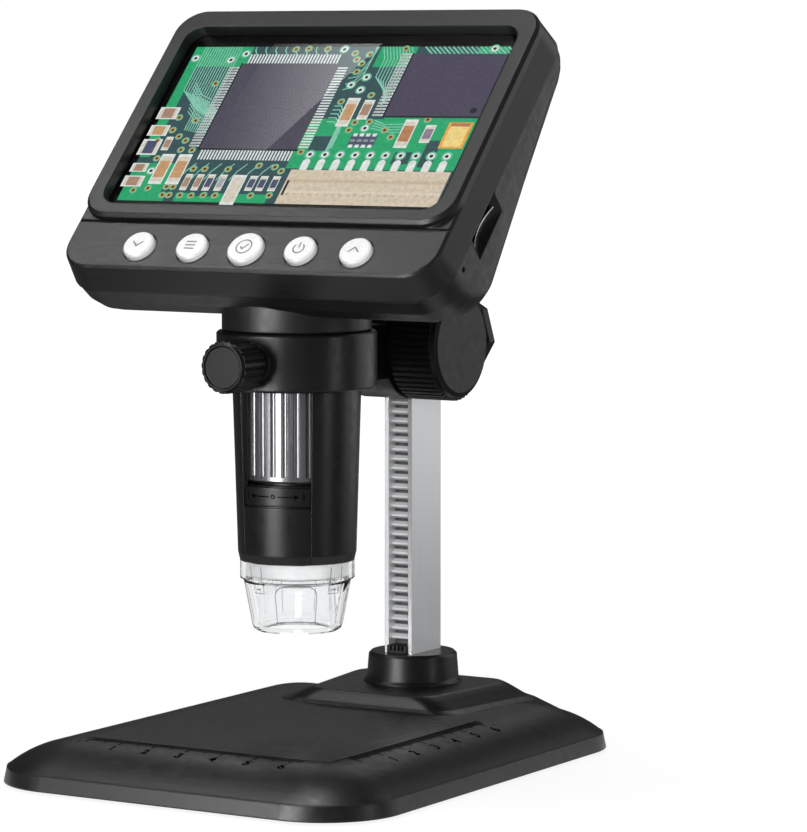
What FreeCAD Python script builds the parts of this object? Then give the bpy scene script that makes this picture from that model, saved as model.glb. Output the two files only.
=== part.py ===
import FreeCAD, Part
import math
import os

# Desk microscope with a tilted screen on top of its barrel. The barrel sits in the ring of a slider,
# which a rack and pinion moves on an upright column over a flat stage. Millimetres, +Z up, -Y to the
# user, with the origin on the floor at the middle of the object's outline.

Vector = FreeCAD.Vector
os.makedirs("parts", exist_ok=True)

# Base
base_width = 112.4
base_depth = 141.1
base_corner = 20.7
base_wall_height = 3.8
base_wall_draft = 0.8
base_crease = 0.4
dome_rise = 6.5
dome_inset = 18.8
base_skin = 2.2
cover_thickness = 1.8
cover_gap = 0.2
foot_radius = 6.0
foot_thickness = 2.0
foot_lift = 0.8
foot_inset = 15.0
post_radius = 3.6
post_inset = 26.0
weight_thickness = 3.0
weight_margin = 14.0
weight_depth = 82.0
screw_radius = 1.4
screw_length = 7.0
screw_head_radius = 2.6
screw_head_height = 1.2
fit_gap = 0.05

# Raised pad and collar under the column
pad_height = 4.0
pad_front_width = 37.0
pad_back_width = 48.0
pad_margin = 1.0
pad_front_reach = 24.0
pad_side_slope = 8.5
pad_front_slope = 1.2
pad_back_slope = 1.6
pad_corner = 6.0
pad_root = 5.0
collar_height = 8.15
collar_radius = 12.3
collar_taper = 0.5
collar_flare = 0.8

# Column and rack
column_width = 8.33
column_depth = 15.05
column_behind_barrel = 57.1
column_behind_base_middle = 50.25
column_top_gap = 23.0
slot_width = 6.0
slot_depth = 5.0
tooth_tip_recess = 1.7
gear_module = 0.8
rack_clearance = 0.05
end_stop_height = 2.2
end_stop_proud = 0.9
column_cap_height = 2.0
rack_top_gap = 4.0
socket_depth = 10.0
bolt_radius = 2.0
bolt_length = 14.0
bolt_head_radius = 3.5

# Slider with its ring
slide_gap = 0.08
slider_half_width = 6.6
housing_radius = 14.6
slider_rear_wall = 7.2
ring_outer_radius = 20.4
ring_height = 14.5
ring_gap = 0.08
barrel_collar_radius = 16.3
knob_above_ring = 8.6
boss_radius = 12.0
boss_length = 2.4

# Focus knob and pinion
pinion_teeth = 16
pinion_half_length = 2.6
pinion_clearance = 0.3
backlash = 0.16
shaft_radius = 3.0
left_journal_radius = 2.0
bush_wall = 1.2
bush_gap = 0.05
knob_radius = 14.6
knob_length = 13.5
knob_ribs = 52
knob_rib_depth = 0.55
knob_edge = 1.6

# Column lock and barrel lock
lock_thread_radius = 2.5
lock_hub_radius = 6.0
lock_hub_length = 5.0
lock_head_radius = 12.0
lock_head_length = 3.7
lock_sides = 8
brake_pad_length = 2.0
barrel_lock_above_ring = 7.2
barrel_lock_radius = 6.6
barrel_lock_length = 9.6
barrel_lock_ribs = 21
barrel_lock_boss_radius = 4.6
barrel_lock_boss_length = 4.1
barrel_screw_radius = 2.0

# Barrel
working_gap = 24.9
cap_height = 18.1
barrel_visible = 43.8
barrel_bottom_radius = 15.1
barrel_rim_chamfer = 2.1
barrel_rim_step = 0.5
barrel_bore_radius = 13.5
wheel_room_radius = 14.1
panel_height = 19.7
wheel_above_panel = 0.8
straight_below_ring = 2.0
band_height = 4.8
band_recess = 0.3
window_start = -28.0
window_end = 46.0
panel_gap = 0.15
core_radius = 10.5
core_bore_radius = 8.6
core_height = 54.0
neck_radius = 19.0
neck_gap = 0.1
barrel_above_ring = 6.0

# Focus wheel and lens
wheel_radius = 13.8
wheel_height = 23.6
wheel_flutes = 28
flute_radius = 0.85
wheel_gap = 0.08
lens_tube_radius = 8.5
lens_tube_height = 18.0
lens_radius = 5.5
lens_travel = 2.0
drive_pin_radius = 0.9

# Clear cap
cap_flange_radius = 14.6
cap_flange_height = 4.6
cap_shoulder_radius = 13.7
cap_rim_radius = 11.2
cap_wall = 1.3
cap_tube_radius = 9.8
cap_tube_wall = 1.0
spigot_height = 4.0
led_board_lift = 1.0
cap_arch_width = 12.0
cap_arch_height = 9.6

# Screen head, in its own frame: u to the right, v up the screen, n out of the screen
head_tilt = 46.5
head_behind_barrel = 5.55
head_above_ring = 68.85
head_half_width = 56.5
head_top = 38.5
head_bottom = -52.0
head_corner = 10.0
face_half_width = 55.2
face_top = 37.4
face_bottom = -50.6
face_corner = 8.5
front_depth = 10.3
bezel_height = 2.1
bezel_bottom = -35.1
bezel_edge = 0.9
window_half_width = 50.35
window_half_height = 30.96
window_corner = 5.0
picture_depth = 3.3
front_wall = 1.4
inner_corner = 5.2
back_wall = 2.2
back_depth = 24.8
back_slope = 0.162
back_bottom_round = 19.0
back_top_round = 8.5
back_side_round = 7.0
back_side_draft = 0.2
housing_screw_u = 49.0
housing_screw_v = -45.0
housing_screw_radius = 1.1
housing_screw_head_radius = 2.1
housing_screw_tip = 5.5
screw_recess_radius = 2.5
screw_seat_depth = 15.5
back_post_radius = 3.6
front_post_radius = 3.0
neck_top_above_ring = 47.0

# Pieces inside the head
lcd_width = 105.5
lcd_height = 67.2
lcd_thickness = 2.95
cover_sheet_thickness = 0.8
board_width = 96.0
board_height = 62.0
board_thickness = 1.6
board_depth = 10.5
battery_width = 50.0
battery_height = 34.0
battery_thickness = 6.5

# Buttons
button_pitch = 16.05
button_v = -43.8
button_radius = 4.3
middle_button_radius = 4.9
button_proud = 1.5
button_gap = 0.3
button_travel = 0.7
button_edge = 0.5
button_collar = 0.4
button_board_depth = 8.2
switch_size = 4.5

# Sockets in the head's sides
card_slot_v = -24.3
card_slot_length = 12.0
card_slot_height = 1.4
card_slot_depth = 12.6
scoop_radius = 17.0
scoop_depth = 2.4
usb_slot_v = -20.0
usb_slot_length = 8.0
usb_slot_height = 3.2
reset_hole_v = -39.4
reset_hole_radius = 0.7

# Values worked out from the sizes above
pitch_radius = gear_module * pinion_teeth / 2
pitch = math.pi * gear_module
tip_radius = pitch_radius + gear_module
root_radius = pitch_radius - 1.25 * gear_module
floor_z = foot_lift
wall_top_z = floor_z + base_wall_height
stage_z = wall_top_z + base_crease / 2 + dome_rise
pad_z = stage_z + pad_height
collar_z = pad_z + collar_height
cap_z = stage_z + working_gap
barrel_z = cap_z + cap_height
ring_z = barrel_z + barrel_visible
ring_top_z = ring_z + ring_height
knob_z = ring_z + knob_above_ring
housing_top_z = knob_z + housing_radius
column_top_z = housing_top_z + column_top_gap + column_cap_height
channel_half_depth = column_depth / 2 + slide_gap
slider_back = channel_half_depth + slider_rear_wall
lock_reach = slider_back + neck_gap + lock_hub_length + lock_head_length
base_y = -(column_behind_base_middle + lock_reach - base_depth / 2) / 2
column_y = base_y + column_behind_base_middle
barrel_y = column_y - column_behind_barrel
column_front_y = column_y - column_depth / 2
pitch_line_y = column_front_y + tooth_tip_recess + gear_module
knob_y = pitch_line_y - pitch_radius
knob_x = slider_half_width + boss_length
ring_bore_radius = barrel_collar_radius + ring_gap
neck_z = ring_top_z + neck_gap
head_origin = Vector(0, barrel_y + head_behind_barrel, ring_z + head_above_ring)
cover_top_z = floor_z + cover_thickness
column_foot_z = pad_z - socket_depth
bolt_y = column_y + slot_depth / 2
rack_bottom_z = collar_z + end_stop_height
rack_top_z = column_top_z - rack_top_gap
bush_radius = shaft_radius + bush_gap + bush_wall
left_bush_radius = left_journal_radius + bush_gap + bush_wall
lock_z = knob_z
barrel_lock_z = ring_z + barrel_lock_above_ring
boss_front_y = barrel_y - ring_outer_radius - barrel_lock_boss_length
wheel_z = barrel_z + panel_height + wheel_above_panel
slot_z = wheel_z + wheel_height / 2
taper_top_z = ring_z - straight_below_ring
led_board_z = barrel_z - spigot_height + led_board_lift
pad_front_y = column_y - pad_front_reach


# Helpers

def save(name, shape):
    shape.exportStep("parts/" + name + ".step")
    box = shape.BoundBox
    print(name, "solids", len(shape.Solids), "volume", round(shape.Volume, 1), "valid", shape.isValid(),
          "z", round(box.ZMin, 2), round(box.ZMax, 2))


def box(x0, x1, y0, y1, z0, z1):
    return Part.makeBox(x1 - x0, y1 - y0, z1 - z0, Vector(x0, y0, z0))


def rod(radius, start, direction, length):
    return Part.makeCylinder(radius, length, Vector(*start), Vector(*direction))


def upright(radius, x, y, z0, z1):
    return rod(radius, (x, y, z0), (0, 0, 1), z1 - z0)


def turned(points, x, y):
    """A solid of revolution about the upright axis through (x, y), from (radius, z) points."""
    corners = [Vector(x + r, y, z) for r, z in points]
    face = Part.Face(Part.makePolygon(corners + corners[:1]))
    return face.revolve(Vector(x, y, 0), Vector(0, 0, 1), 360)


def rounded_polygon(corners, radius):
    """A closed wire through 3D corners, each rounded with an arc of the radius, listed the same way round."""
    edges = []
    starts = []
    ends = []
    middles = []
    for i, corner in enumerate(corners):
        before = (corners[i - 1] - corner).normalize()
        after = (corners[(i + 1) % len(corners)] - corner).normalize()
        half_angle = before.getAngle(after) / 2
        reach = radius / math.tan(half_angle)
        inward = (before + after).normalize()
        starts.append(corner + before * reach)
        ends.append(corner + after * reach)
        middles.append(corner + inward * (radius / math.sin(half_angle) - radius))
    for i in range(len(corners)):
        edges.append(Part.Arc(starts[i], middles[i], ends[i]).toShape())
        edges.append(Part.LineSegment(ends[i], starts[(i + 1) % len(corners)]).toShape())
    return Part.Wire(edges)


def rounded_rectangle(x0, x1, y0, y1, z, radius):
    corners = [Vector(x0, y0, z), Vector(x1, y0, z), Vector(x1, y1, z), Vector(x0, y1, z)]
    return rounded_polygon(corners, radius)


def rounded_block(x0, x1, y0, y1, z0, z1, radius):
    wire = rounded_rectangle(x0, x1, y0, y1, z0, radius)
    return Part.Face(wire).extrude(Vector(0, 0, z1 - z0))


def loft(wires, ruled):
    return Part.makeLoft(wires, True, ruled)


def sector(inner, outer, start, end, z0, z1):
    """A slice of a tube round the barrel's axis. Angles go from the front, -Y, towards +X."""
    points = [(inner, z0), (outer, z0), (outer, z1), (inner, z1)]
    corners = [Vector(0, -r, z) for r, z in points]
    face = Part.Face(Part.makePolygon(corners + corners[:1]))
    face.rotate(Vector(0, 0, 0), Vector(0, 0, 1), start)
    slice_solid = face.revolve(Vector(0, 0, 0), Vector(0, 0, 1), end - start)
    slice_solid.translate(Vector(0, barrel_y, 0))
    return slice_solid


def in_head(shape):
    """Moves a shape from the head's own frame to its place on the barrel."""
    tilted = shape.copy()
    place = FreeCAD.Placement(head_origin, FreeCAD.Rotation(Vector(1, 0, 0), head_tilt))
    tilted.Placement = place.multiply(shape.Placement)
    return tilted


def ribbed(radius, length, ribs, depth, phase):
    """A prism whose outline has shallow V grooves between its ribs, along +Z from the origin."""
    corners = []
    step = 2 * math.pi / ribs
    for i in range(ribs):
        for share, r in ((0.0, radius), (0.5, radius), (0.75, radius - depth)):
            angle = (i + share + phase) * step
            corners.append(Vector(r * math.cos(angle), r * math.sin(angle), 0))
    return Part.Face(Part.makePolygon(corners + corners[:1])).extrude(Vector(0, 0, length))


# Base and column

def base_outline(inset, z):
    half = base_width / 2 - inset
    front = base_y - base_depth / 2 + inset
    back = base_y + base_depth / 2 - inset
    return rounded_rectangle(-half, half, front, back, z, base_corner - inset)


def base_form(skin):
    """The base's outer form, or its hollow where skin is more than zero."""
    ledge = base_wall_draft + base_crease
    wall = [base_outline(skin, floor_z), base_outline(skin + base_wall_draft, wall_top_z - skin / 2),
            base_outline(skin + ledge, wall_top_z + base_crease / 2 - skin / 2)]
    run = dome_inset - skin
    arc_angle = 2 * math.atan2(dome_rise, dome_inset)
    dome = []
    steps = 2 if skin else 4
    for i in range(steps + 1):
        angle = arc_angle * (1 - i / steps)
        across = 1 - math.sin(angle) / math.sin(arc_angle)
        rise = (math.cos(angle) - math.cos(arc_angle)) / (1 - math.cos(arc_angle))
        z = wall_top_z + base_crease / 2 - skin / 2 + rise * (dome_rise - skin / 2)
        dome.append(base_outline(skin + ledge + across * run, z))
    return loft(wall, True).fuse(loft(dome, skin > 0))


def pad_form():
    """The raised pad, a rounded trapezoid with a steep front and sloping sides."""
    back_y = column_y + collar_radius + collar_flare + pad_margin
    wires = []
    for z, slope in ((stage_z - pad_root, 2.6), (stage_z + 0.2, 1.05), (stage_z + 0.9, 0.72), (pad_z - 1.0, 0.2),
                     (pad_z - 0.3, 0.0), (pad_z, -0.12)):
        side = pad_side_slope * slope
        front = pad_front_y - pad_front_slope * slope
        back = back_y + pad_back_slope * slope
        near = pad_front_width / 2 + side
        far = pad_back_width / 2 + side
        corners = [Vector(-near, front, z), Vector(near, front, z), Vector(far, back, z),
                   Vector(-far, back, z)]
        wires.append(rounded_polygon(corners, pad_corner + slope))
    return loft(wires, True)


def column_core(gap):
    half_w = column_width / 2 + gap
    half_d = column_depth / 2 + gap
    return (-half_w, half_w, column_y - half_d, column_y + half_d)


def post_places():
    x = base_width / 2 - post_inset
    front = base_y - base_depth / 2 + post_inset
    back = base_y + base_depth / 2 - post_inset
    return [(-x, front), (x, front), (-x, back), (x, back)]


def foot_places():
    x = base_width / 2 - foot_inset
    front = base_y - base_depth / 2 + foot_inset
    back = base_y + base_depth / 2 - foot_inset
    return [(-x, front), (x, front), (-x, back), (x, back)]


def make_base_shell():
    shell = base_form(0).fuse(pad_form())
    hollow = base_form(base_skin)
    lower = box(-base_width, base_width, -base_depth, base_depth, floor_z - 5, floor_z)
    shell = shell.cut(hollow)
    solid_foot = upright(collar_radius, 0, column_y, cover_top_z, pad_z - 0.5)
    posts = [upright(post_radius, x, y, cover_top_z, stage_z - base_skin / 2) for x, y in post_places()]
    shell = shell.fuse([solid_foot] + posts)
    cuts = [box(*column_core(fit_gap), column_foot_z, pad_z + 1), lower]
    cuts.append(upright(bolt_radius + fit_gap, 0, bolt_y, cover_top_z - 1, column_foot_z + 1))
    for x, y in post_places():
        cuts.append(upright(screw_radius + fit_gap, x, y, cover_top_z - 1, cover_top_z + screw_length - 1))
    return shell.cut(cuts).removeSplitter()


def make_base_cover():
    wire = base_outline(base_skin + base_wall_draft + cover_gap, floor_z)
    cover = Part.Face(wire).extrude(Vector(0, 0, cover_thickness))
    cuts = [upright(foot_radius + fit_gap, x, y, floor_z - 1, foot_thickness) for x, y in foot_places()]
    cuts.append(upright(bolt_head_radius + cover_gap, 0, bolt_y, floor_z - 1, floor_z + 1.0))
    cuts.append(upright(bolt_radius + fit_gap, 0, bolt_y, floor_z - 1, cover_top_z + 1))
    for x, y in post_places():
        cuts.append(upright(screw_head_radius + cover_gap, x, y, floor_z - 1, floor_z + screw_head_height))
        cuts.append(upright(screw_radius + fit_gap, x, y, floor_z - 1, cover_top_z + 1))
    return cover.cut(cuts)


def make_weight_plate():
    margin = weight_margin
    front = base_y - base_depth / 2 + margin
    plate = rounded_block(-base_width / 2 + margin, base_width / 2 - margin, front, front + weight_depth,
                          cover_top_z, cover_top_z + weight_thickness, 8.0)
    holes = [upright(post_radius + 0.5, x, y, floor_z, stage_z) for x, y in post_places()]
    return plate.cut(holes)


def make_base_feet():
    return Part.makeCompound([turned([(0, 0), (foot_radius - 0.6, 0), (foot_radius, 0.6),
                                      (foot_radius, foot_thickness), (0, foot_thickness)], x, y)
                              for x, y in foot_places()])


def make_base_screws():
    screws = []
    for x, y in post_places():
        head = upright(screw_head_radius, x, y, floor_z + 0.2, floor_z + screw_head_height)
        shank = upright(screw_radius, x, y, floor_z + 1.0, floor_z + screw_head_height + screw_length - 1.5)
        screws.append(head.fuse(shank).removeSplitter())
    return Part.makeCompound(screws)


def make_collar():
    top = collar_radius - collar_taper
    profile = [(0, pad_z), (collar_radius + collar_flare, pad_z), (collar_radius + collar_flare, pad_z + 0.3),
               (collar_radius, pad_z + 1.1), (top, collar_z - 0.7), (top - 0.7, collar_z), (0, collar_z)]
    collar = turned(profile, 0, column_y)
    return collar.cut(box(*column_core(fit_gap), pad_z - 1, collar_z + 1))


def make_column():
    column = box(*column_core(0), column_foot_z, column_top_z)
    slot = box(-slot_width / 2, slot_width / 2, column_front_y - 1, column_front_y + slot_depth,
               column_foot_z - 1, column_top_z + 1)
    thread = upright(bolt_radius, 0, bolt_y, column_foot_z - 1, column_foot_z + bolt_length - 2)
    return column.cut([slot, thread])


def make_column_bolt():
    head = upright(bolt_head_radius, 0, bolt_y, floor_z + 0.2, floor_z + 1.0)
    shank = upright(bolt_radius, 0, bolt_y, floor_z + 0.8, column_foot_z + bolt_length - 4)
    return head.fuse(shank).removeSplitter()


def make_column_cap():
    half_w = column_width / 2
    half_d = column_depth / 2
    lid = rounded_block(-half_w, half_w, column_y - half_d, column_y + half_d,
                        column_top_z, column_top_z + column_cap_height, 1.0)
    tongue = box(-slot_width / 2 + fit_gap, slot_width / 2 - fit_gap, column_front_y + 1.0,
                 column_front_y + slot_depth - fit_gap, column_top_z - 4.0, column_top_z)
    return lid.fuse(tongue).removeSplitter()


def make_rack():
    """A straight rack with a tooth gap level with the pinion's axis."""
    slope = math.tan(math.radians(20))
    half_tooth = pitch / 4 - backlash / 2
    tip = pitch_line_y - gear_module
    root = pitch_line_y + 1.25 * gear_module
    tip_half = half_tooth - gear_module * slope
    root_half = half_tooth + 1.25 * gear_module * slope
    back = column_front_y + slot_depth
    first = math.ceil((rack_bottom_z + root_half - knob_z) / pitch - 0.5)
    last = math.floor((rack_top_z - root_half - knob_z) / pitch - 0.5)
    corners = [Vector(0, back, rack_bottom_z), Vector(0, root, rack_bottom_z)]
    for i in range(first, last + 1):
        z = knob_z + (i + 0.5) * pitch
        corners.append(Vector(0, root, z - root_half))
        corners.append(Vector(0, tip, z - tip_half))
        corners.append(Vector(0, tip, z + tip_half))
        corners.append(Vector(0, root, z + root_half))
    corners += [Vector(0, root, rack_top_z), Vector(0, back, rack_top_z)]
    half = slot_width / 2 - rack_clearance
    face = Part.Face(Part.makePolygon(corners + corners[:1]))
    face.translate(Vector(-half, 0, 0))
    return face.extrude(Vector(2 * half, 0, 0))


def make_end_stop():
    half = slot_width / 2 - rack_clearance
    front = column_front_y - end_stop_proud
    block = box(-half, half, front, column_front_y + slot_depth, collar_z, rack_bottom_z)
    notches = []
    for i in range(4):
        x = -half + (i + 1) * 2 * half / 5
        notches.append(box(x - 0.25, x + 0.25, column_front_y - 2, column_front_y + 1,
                           collar_z + 0.8, rack_bottom_z + 1))
    return block.cut(notches)


# Slider and its knobs

def level_cylinder(radius, x0, x1, y, z):
    return rod(radius, (x0, y, z), (1, 0, 0), x1 - x0)


def make_slider_arm():
    w = slider_half_width
    ring = upright(ring_outer_radius, 0, barrel_y, ring_z, ring_top_z)
    ring = ring.makeChamfer(0.5, [e for e in ring.Edges if len(e.Vertexes) == 1])
    arm = box(-w, w, barrel_y, knob_y, ring_z, ring_top_z)
    housing = level_cylinder(housing_radius, -w, w, knob_y, knob_z)
    sleeve = box(-w, w, knob_y, column_y + slider_back, knob_z - housing_radius, housing_top_z)
    boss = level_cylinder(boss_radius, w, knob_x, knob_y, knob_z)
    lock_boss = rod(barrel_lock_boss_radius, (0, boss_front_y, barrel_lock_z), (0, 1, 0),
                    barrel_lock_boss_length + 3)
    body = ring.fuse([arm, housing, sleeve, boss, lock_boss])
    cuts = [upright(ring_bore_radius, 0, barrel_y, ring_z - 1, ring_top_z + 1),
            box(*column_core(slide_gap), knob_z - housing_radius - 1, housing_top_z + 1),
            level_cylinder(tip_radius + pinion_clearance, -pinion_half_length - pinion_clearance,
                           pinion_half_length + pinion_clearance, knob_y, knob_z),
            level_cylinder(bush_radius + fit_gap, 0, knob_x + 1, knob_y, knob_z),
            level_cylinder(left_bush_radius + fit_gap, -w - 1, 0, knob_y, knob_z),
            rod(lock_thread_radius + fit_gap, (0, column_y, lock_z), (0, 1, 0), slider_back + 1),
            rod(barrel_screw_radius + fit_gap, (0, boss_front_y - 1, barrel_lock_z), (0, 1, 0), 12)]
    return body.cut(cuts).removeSplitter()


def make_shaft_bushes():
    inner_end = pinion_half_length + pinion_clearance
    right = level_cylinder(bush_radius, inner_end, knob_x, knob_y, knob_z)
    right = right.cut(level_cylinder(shaft_radius + bush_gap, 0, knob_x + 1, knob_y, knob_z))
    left = level_cylinder(left_bush_radius, -slider_half_width, -inner_end, knob_y, knob_z)
    left = left.cut(level_cylinder(left_journal_radius + bush_gap, -slider_half_width - 1, 0, knob_y, knob_z))
    channel = box(*column_core(slide_gap), knob_z - housing_radius, housing_top_z)
    return Part.makeCompound([right.cut(channel), left.cut(channel)])


def pinion_profile():
    """Corners of a gear whose first tooth gap points along +Y, in the (y, z) plane about the axis."""
    base_radius = pitch_radius * math.cos(math.radians(20))
    pitch_flank = math.tan(math.radians(20)) - math.radians(20)
    half_tooth = math.pi / 2 / pinion_teeth - backlash / 2 / pitch_radius
    radii = [base_radius, (base_radius + pitch_radius) / 2, pitch_radius, (pitch_radius + tip_radius) / 2,
             tip_radius]
    flank = []
    for r in radii:
        roll = math.acos(base_radius / r)
        flank.append((r, half_tooth + pitch_flank - (math.tan(roll) - roll)))
    corners = []
    for i in range(pinion_teeth):
        centre = 2 * math.pi * i / pinion_teeth
        corners.append((root_radius, centre - flank[0][1]))
        corners += [(r, centre - a) for r, a in flank]
        corners += [(r, centre + a) for r, a in reversed(flank)]
        corners.append((root_radius, centre + flank[0][1]))
    return corners


def make_pinion_shaft():
    points = [Vector(0, r * math.cos(a), r * math.sin(a)) for r, a in pinion_profile()]
    face = Part.Face(Part.makePolygon(points + points[:1]))
    face.translate(Vector(-pinion_half_length, knob_y, knob_z))
    gear = face.extrude(Vector(2 * pinion_half_length, 0, 0))
    right = level_cylinder(shaft_radius, 0, knob_x + knob_length - 4, knob_y, knob_z)
    left = level_cylinder(left_journal_radius, -slider_half_width - 0.6, 0, knob_y, knob_z)
    return gear.fuse([right, left]).removeSplitter()


def make_focus_knob():
    """Finely ribbed knob with a smooth rounded face and a bored hub."""
    body = ribbed(knob_radius, knob_length - knob_edge, knob_ribs, knob_rib_depth, 0)
    face_radius = knob_radius - knob_rib_depth
    cap = turned([(0, knob_length - knob_edge - 0.5), (face_radius, knob_length - knob_edge - 0.5),
                  (face_radius, knob_length - knob_edge), (face_radius - 0.45, knob_length - 0.5),
                  (face_radius - 1.6, knob_length), (0, knob_length)], 0, 0)
    pocket = upright(boss_radius + 0.6, 0, 0, -1, 1.2)
    knob = body.fuse(cap).cut(pocket)
    knob.Placement = FreeCAD.Placement(Vector(knob_x - 0.7, knob_y, knob_z),
                                       FreeCAD.Rotation(Vector(0, 0, 1), Vector(1, 0, 0)))
    bore = level_cylinder(shaft_radius, 0, knob_x + knob_length - 4, knob_y, knob_z)
    return knob.cut(bore).removeSplitter()


def make_column_lock_knob():
    """Faceted hand knob behind the column."""
    start = column_y + slider_back + neck_gap
    hub = rod(lock_hub_radius, (0, start, lock_z), (0, 1, 0), lock_hub_length + 1)
    corners = []
    for i in range(lock_sides):
        angle = 2 * math.pi * (i + 0.83) / lock_sides
        corners.append(Vector(lock_head_radius * math.cos(angle), 0, lock_head_radius * math.sin(angle)))
    head = Part.Face(Part.makePolygon(corners + corners[:1])).extrude(Vector(0, lock_head_length, 0))
    rims = [e for e in head.Edges if abs(e.BoundBox.YLength) < 0.01]
    head = head.makeChamfer(0.5, rims)
    head.translate(Vector(0, start + lock_hub_length, lock_z))
    bore = rod(lock_thread_radius, (0, start - 1, lock_z), (0, 1, 0), lock_hub_length + 2)
    return hub.fuse(head).cut(bore).removeSplitter()


def make_column_lock_stud():
    start = column_y + channel_half_depth + brake_pad_length
    end = column_y + slider_back + neck_gap + lock_hub_length + 1
    return rod(lock_thread_radius, (0, start, lock_z), (0, 1, 0), end - start)


def make_brake_pad():
    start = column_y + channel_half_depth
    return rod(lock_thread_radius, (0, start, lock_z), (0, 1, 0), brake_pad_length)


def make_barrel_lock_knob():
    """Small ribbed knob with a raised rim round a sunk face."""
    length = barrel_lock_length
    radius = barrel_lock_radius
    body = ribbed(radius, length - 0.8, barrel_lock_ribs, 0.6, 0.1)
    rim = turned([(0, length - 1.2), (radius - 0.3, length - 1.2), (radius - 0.3, length - 0.6),
                  (radius - 0.8, length), (radius - 1.2, length), (radius - 1.5, length - 0.5),
                  (0, length - 0.5)], 0, 0)
    knob = body.fuse(rim).cut(upright(barrel_screw_radius, 0, 0, -1, 6))
    knob.Placement = FreeCAD.Placement(Vector(0, boss_front_y - neck_gap, barrel_lock_z),
                                       FreeCAD.Rotation(Vector(0, 0, 1), Vector(0, -1, 0)))
    return knob.removeSplitter()


def make_barrel_lock_screw():
    front = boss_front_y - neck_gap - 6
    tip = barrel_y - barrel_collar_radius - ring_gap
    return rod(barrel_screw_radius, (0, front, barrel_lock_z), (0, 1, 0), tip - front)


# Barrel

def barrel_profile(inset):
    low = barrel_bottom_radius - inset
    return [(low - barrel_rim_step, barrel_z), (low, barrel_z + barrel_rim_chamfer),
            (barrel_collar_radius - inset, taper_top_z), (barrel_collar_radius - inset, neck_z + barrel_above_ring)]


def make_barrel_shell():
    """Side shell of the barrel, open in front round the wheel and the front panel."""
    outer = turned([(0, barrel_z)] + barrel_profile(0) + [(0, neck_z + barrel_above_ring)], 0, barrel_y)
    bore = upright(barrel_bore_radius, 0, barrel_y, barrel_z - 1, wheel_z)
    room = upright(wheel_room_radius, 0, barrel_y, barrel_z + panel_height, neck_z + barrel_above_ring + 1)
    gate = sector(core_radius, ring_outer_radius, window_start, window_end, barrel_z - 1, ring_z + 0.7)
    return outer.cut([bore, room, gate]).removeSplitter()


def make_front_panel():
    """The panel below the wheel, with a sunk band and a groove under it."""
    outer = turned([(0, barrel_z)] + barrel_profile(0) + [(0, neck_z)], 0, barrel_y)
    slice_solid = sector(barrel_bore_radius + fit_gap, ring_outer_radius, window_start + panel_gap * 3,
                         window_end - panel_gap * 3, barrel_z, barrel_z + panel_height - panel_gap)
    panel = outer.common(slice_solid)
    band_z = barrel_z + panel_height - band_height
    slim = turned([(0, barrel_z)] + barrel_profile(band_recess) + [(0, neck_z)], 0, barrel_y)
    band_room = upright(ring_outer_radius, 0, barrel_y, band_z, barrel_z + panel_height).cut(slim)
    groove = turned([(0, barrel_z)] + barrel_profile(0.8) + [(0, neck_z)], 0, barrel_y)
    groove_room = upright(ring_outer_radius, 0, barrel_y, band_z - 0.5, band_z).cut(groove)
    return panel.cut([band_room, groove_room]).removeSplitter()


def make_barrel_core():
    """Inner sleeve: it carries the front panel, the wheel, the lens tube and the cap's spigot."""
    top = barrel_z + core_height
    spigot = cap_flange_radius - cap_wall - 0.1
    profile = [(core_bore_radius, barrel_z - spigot_height), (spigot - 0.4, barrel_z - spigot_height),
               (spigot, barrel_z - spigot_height + 0.4), (spigot, barrel_z), (barrel_bore_radius, barrel_z),
               (barrel_bore_radius, barrel_z + panel_height), (core_radius, barrel_z + panel_height),
               (core_radius, top), (core_bore_radius, top)]
    core = turned(profile, 0, barrel_y)
    slot = box(0, ring_outer_radius, barrel_y - drive_pin_radius - 0.1, barrel_y + drive_pin_radius + 0.1,
               slot_z - lens_travel - drive_pin_radius - 0.4, slot_z + lens_travel + drive_pin_radius + 0.4)
    return core.cut(slot)


def make_focus_wheel():
    """Fluted wheel that turns on the core and drives the lens tube's pin."""
    top = wheel_z + wheel_height
    bore = core_radius + wheel_gap
    groove = bore + 1.6
    room = lens_travel + drive_pin_radius + 0.6
    rim = wheel_radius - 0.5
    profile = [(bore, wheel_z), (rim, wheel_z), (wheel_radius, wheel_z + 0.5), (wheel_radius, top - 0.5),
               (rim, top), (bore, top), (bore, slot_z + room), (groove, slot_z + room), (groove, slot_z - room),
               (bore, slot_z - room)]
    wheel = turned(profile, 0, barrel_y)
    flutes = []
    for i in range(wheel_flutes):
        angle = 2 * math.pi * (i + 0.5) / wheel_flutes
        x = (wheel_radius + 0.25) * math.cos(angle)
        y = barrel_y + (wheel_radius + 0.25) * math.sin(angle)
        flutes.append(upright(flute_radius, x, y, wheel_z + 1.6, top + 1))
    return wheel.cut(flutes)


def make_lens_carrier():
    low = slot_z - lens_tube_height / 2
    high = slot_z + lens_tube_height / 2
    profile = [(lens_radius - 1.0, low), (lens_tube_radius, low), (lens_tube_radius, high), (lens_radius, high),
               (lens_radius, low + 1.2), (lens_radius - 1.0, low + 1.2)]
    tube = turned(profile, 0, barrel_y)
    pin = rod(drive_pin_radius, (lens_radius + 1, barrel_y, slot_z), (1, 0, 0), core_radius + 1.2 - lens_radius - 1)
    return tube.fuse(pin).removeSplitter()


def make_objective_lens():
    low = slot_z - lens_tube_height / 2 + 1.2
    rim = lens_radius - 0.02
    profile = [(0, low + 0.2), (rim - 1.2, low), (rim, low), (rim, low + 3.0), (rim - 1.2, low + 3.6),
               (0, low + 4.4)]
    return turned(profile, 0, barrel_y)


def make_led_board():
    outer = core_bore_radius - fit_gap
    profile = [(4.5, led_board_z), (outer, led_board_z), (outer, led_board_z + 1.2), (4.5, led_board_z + 1.2)]
    return turned(profile, 0, barrel_y)


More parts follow.
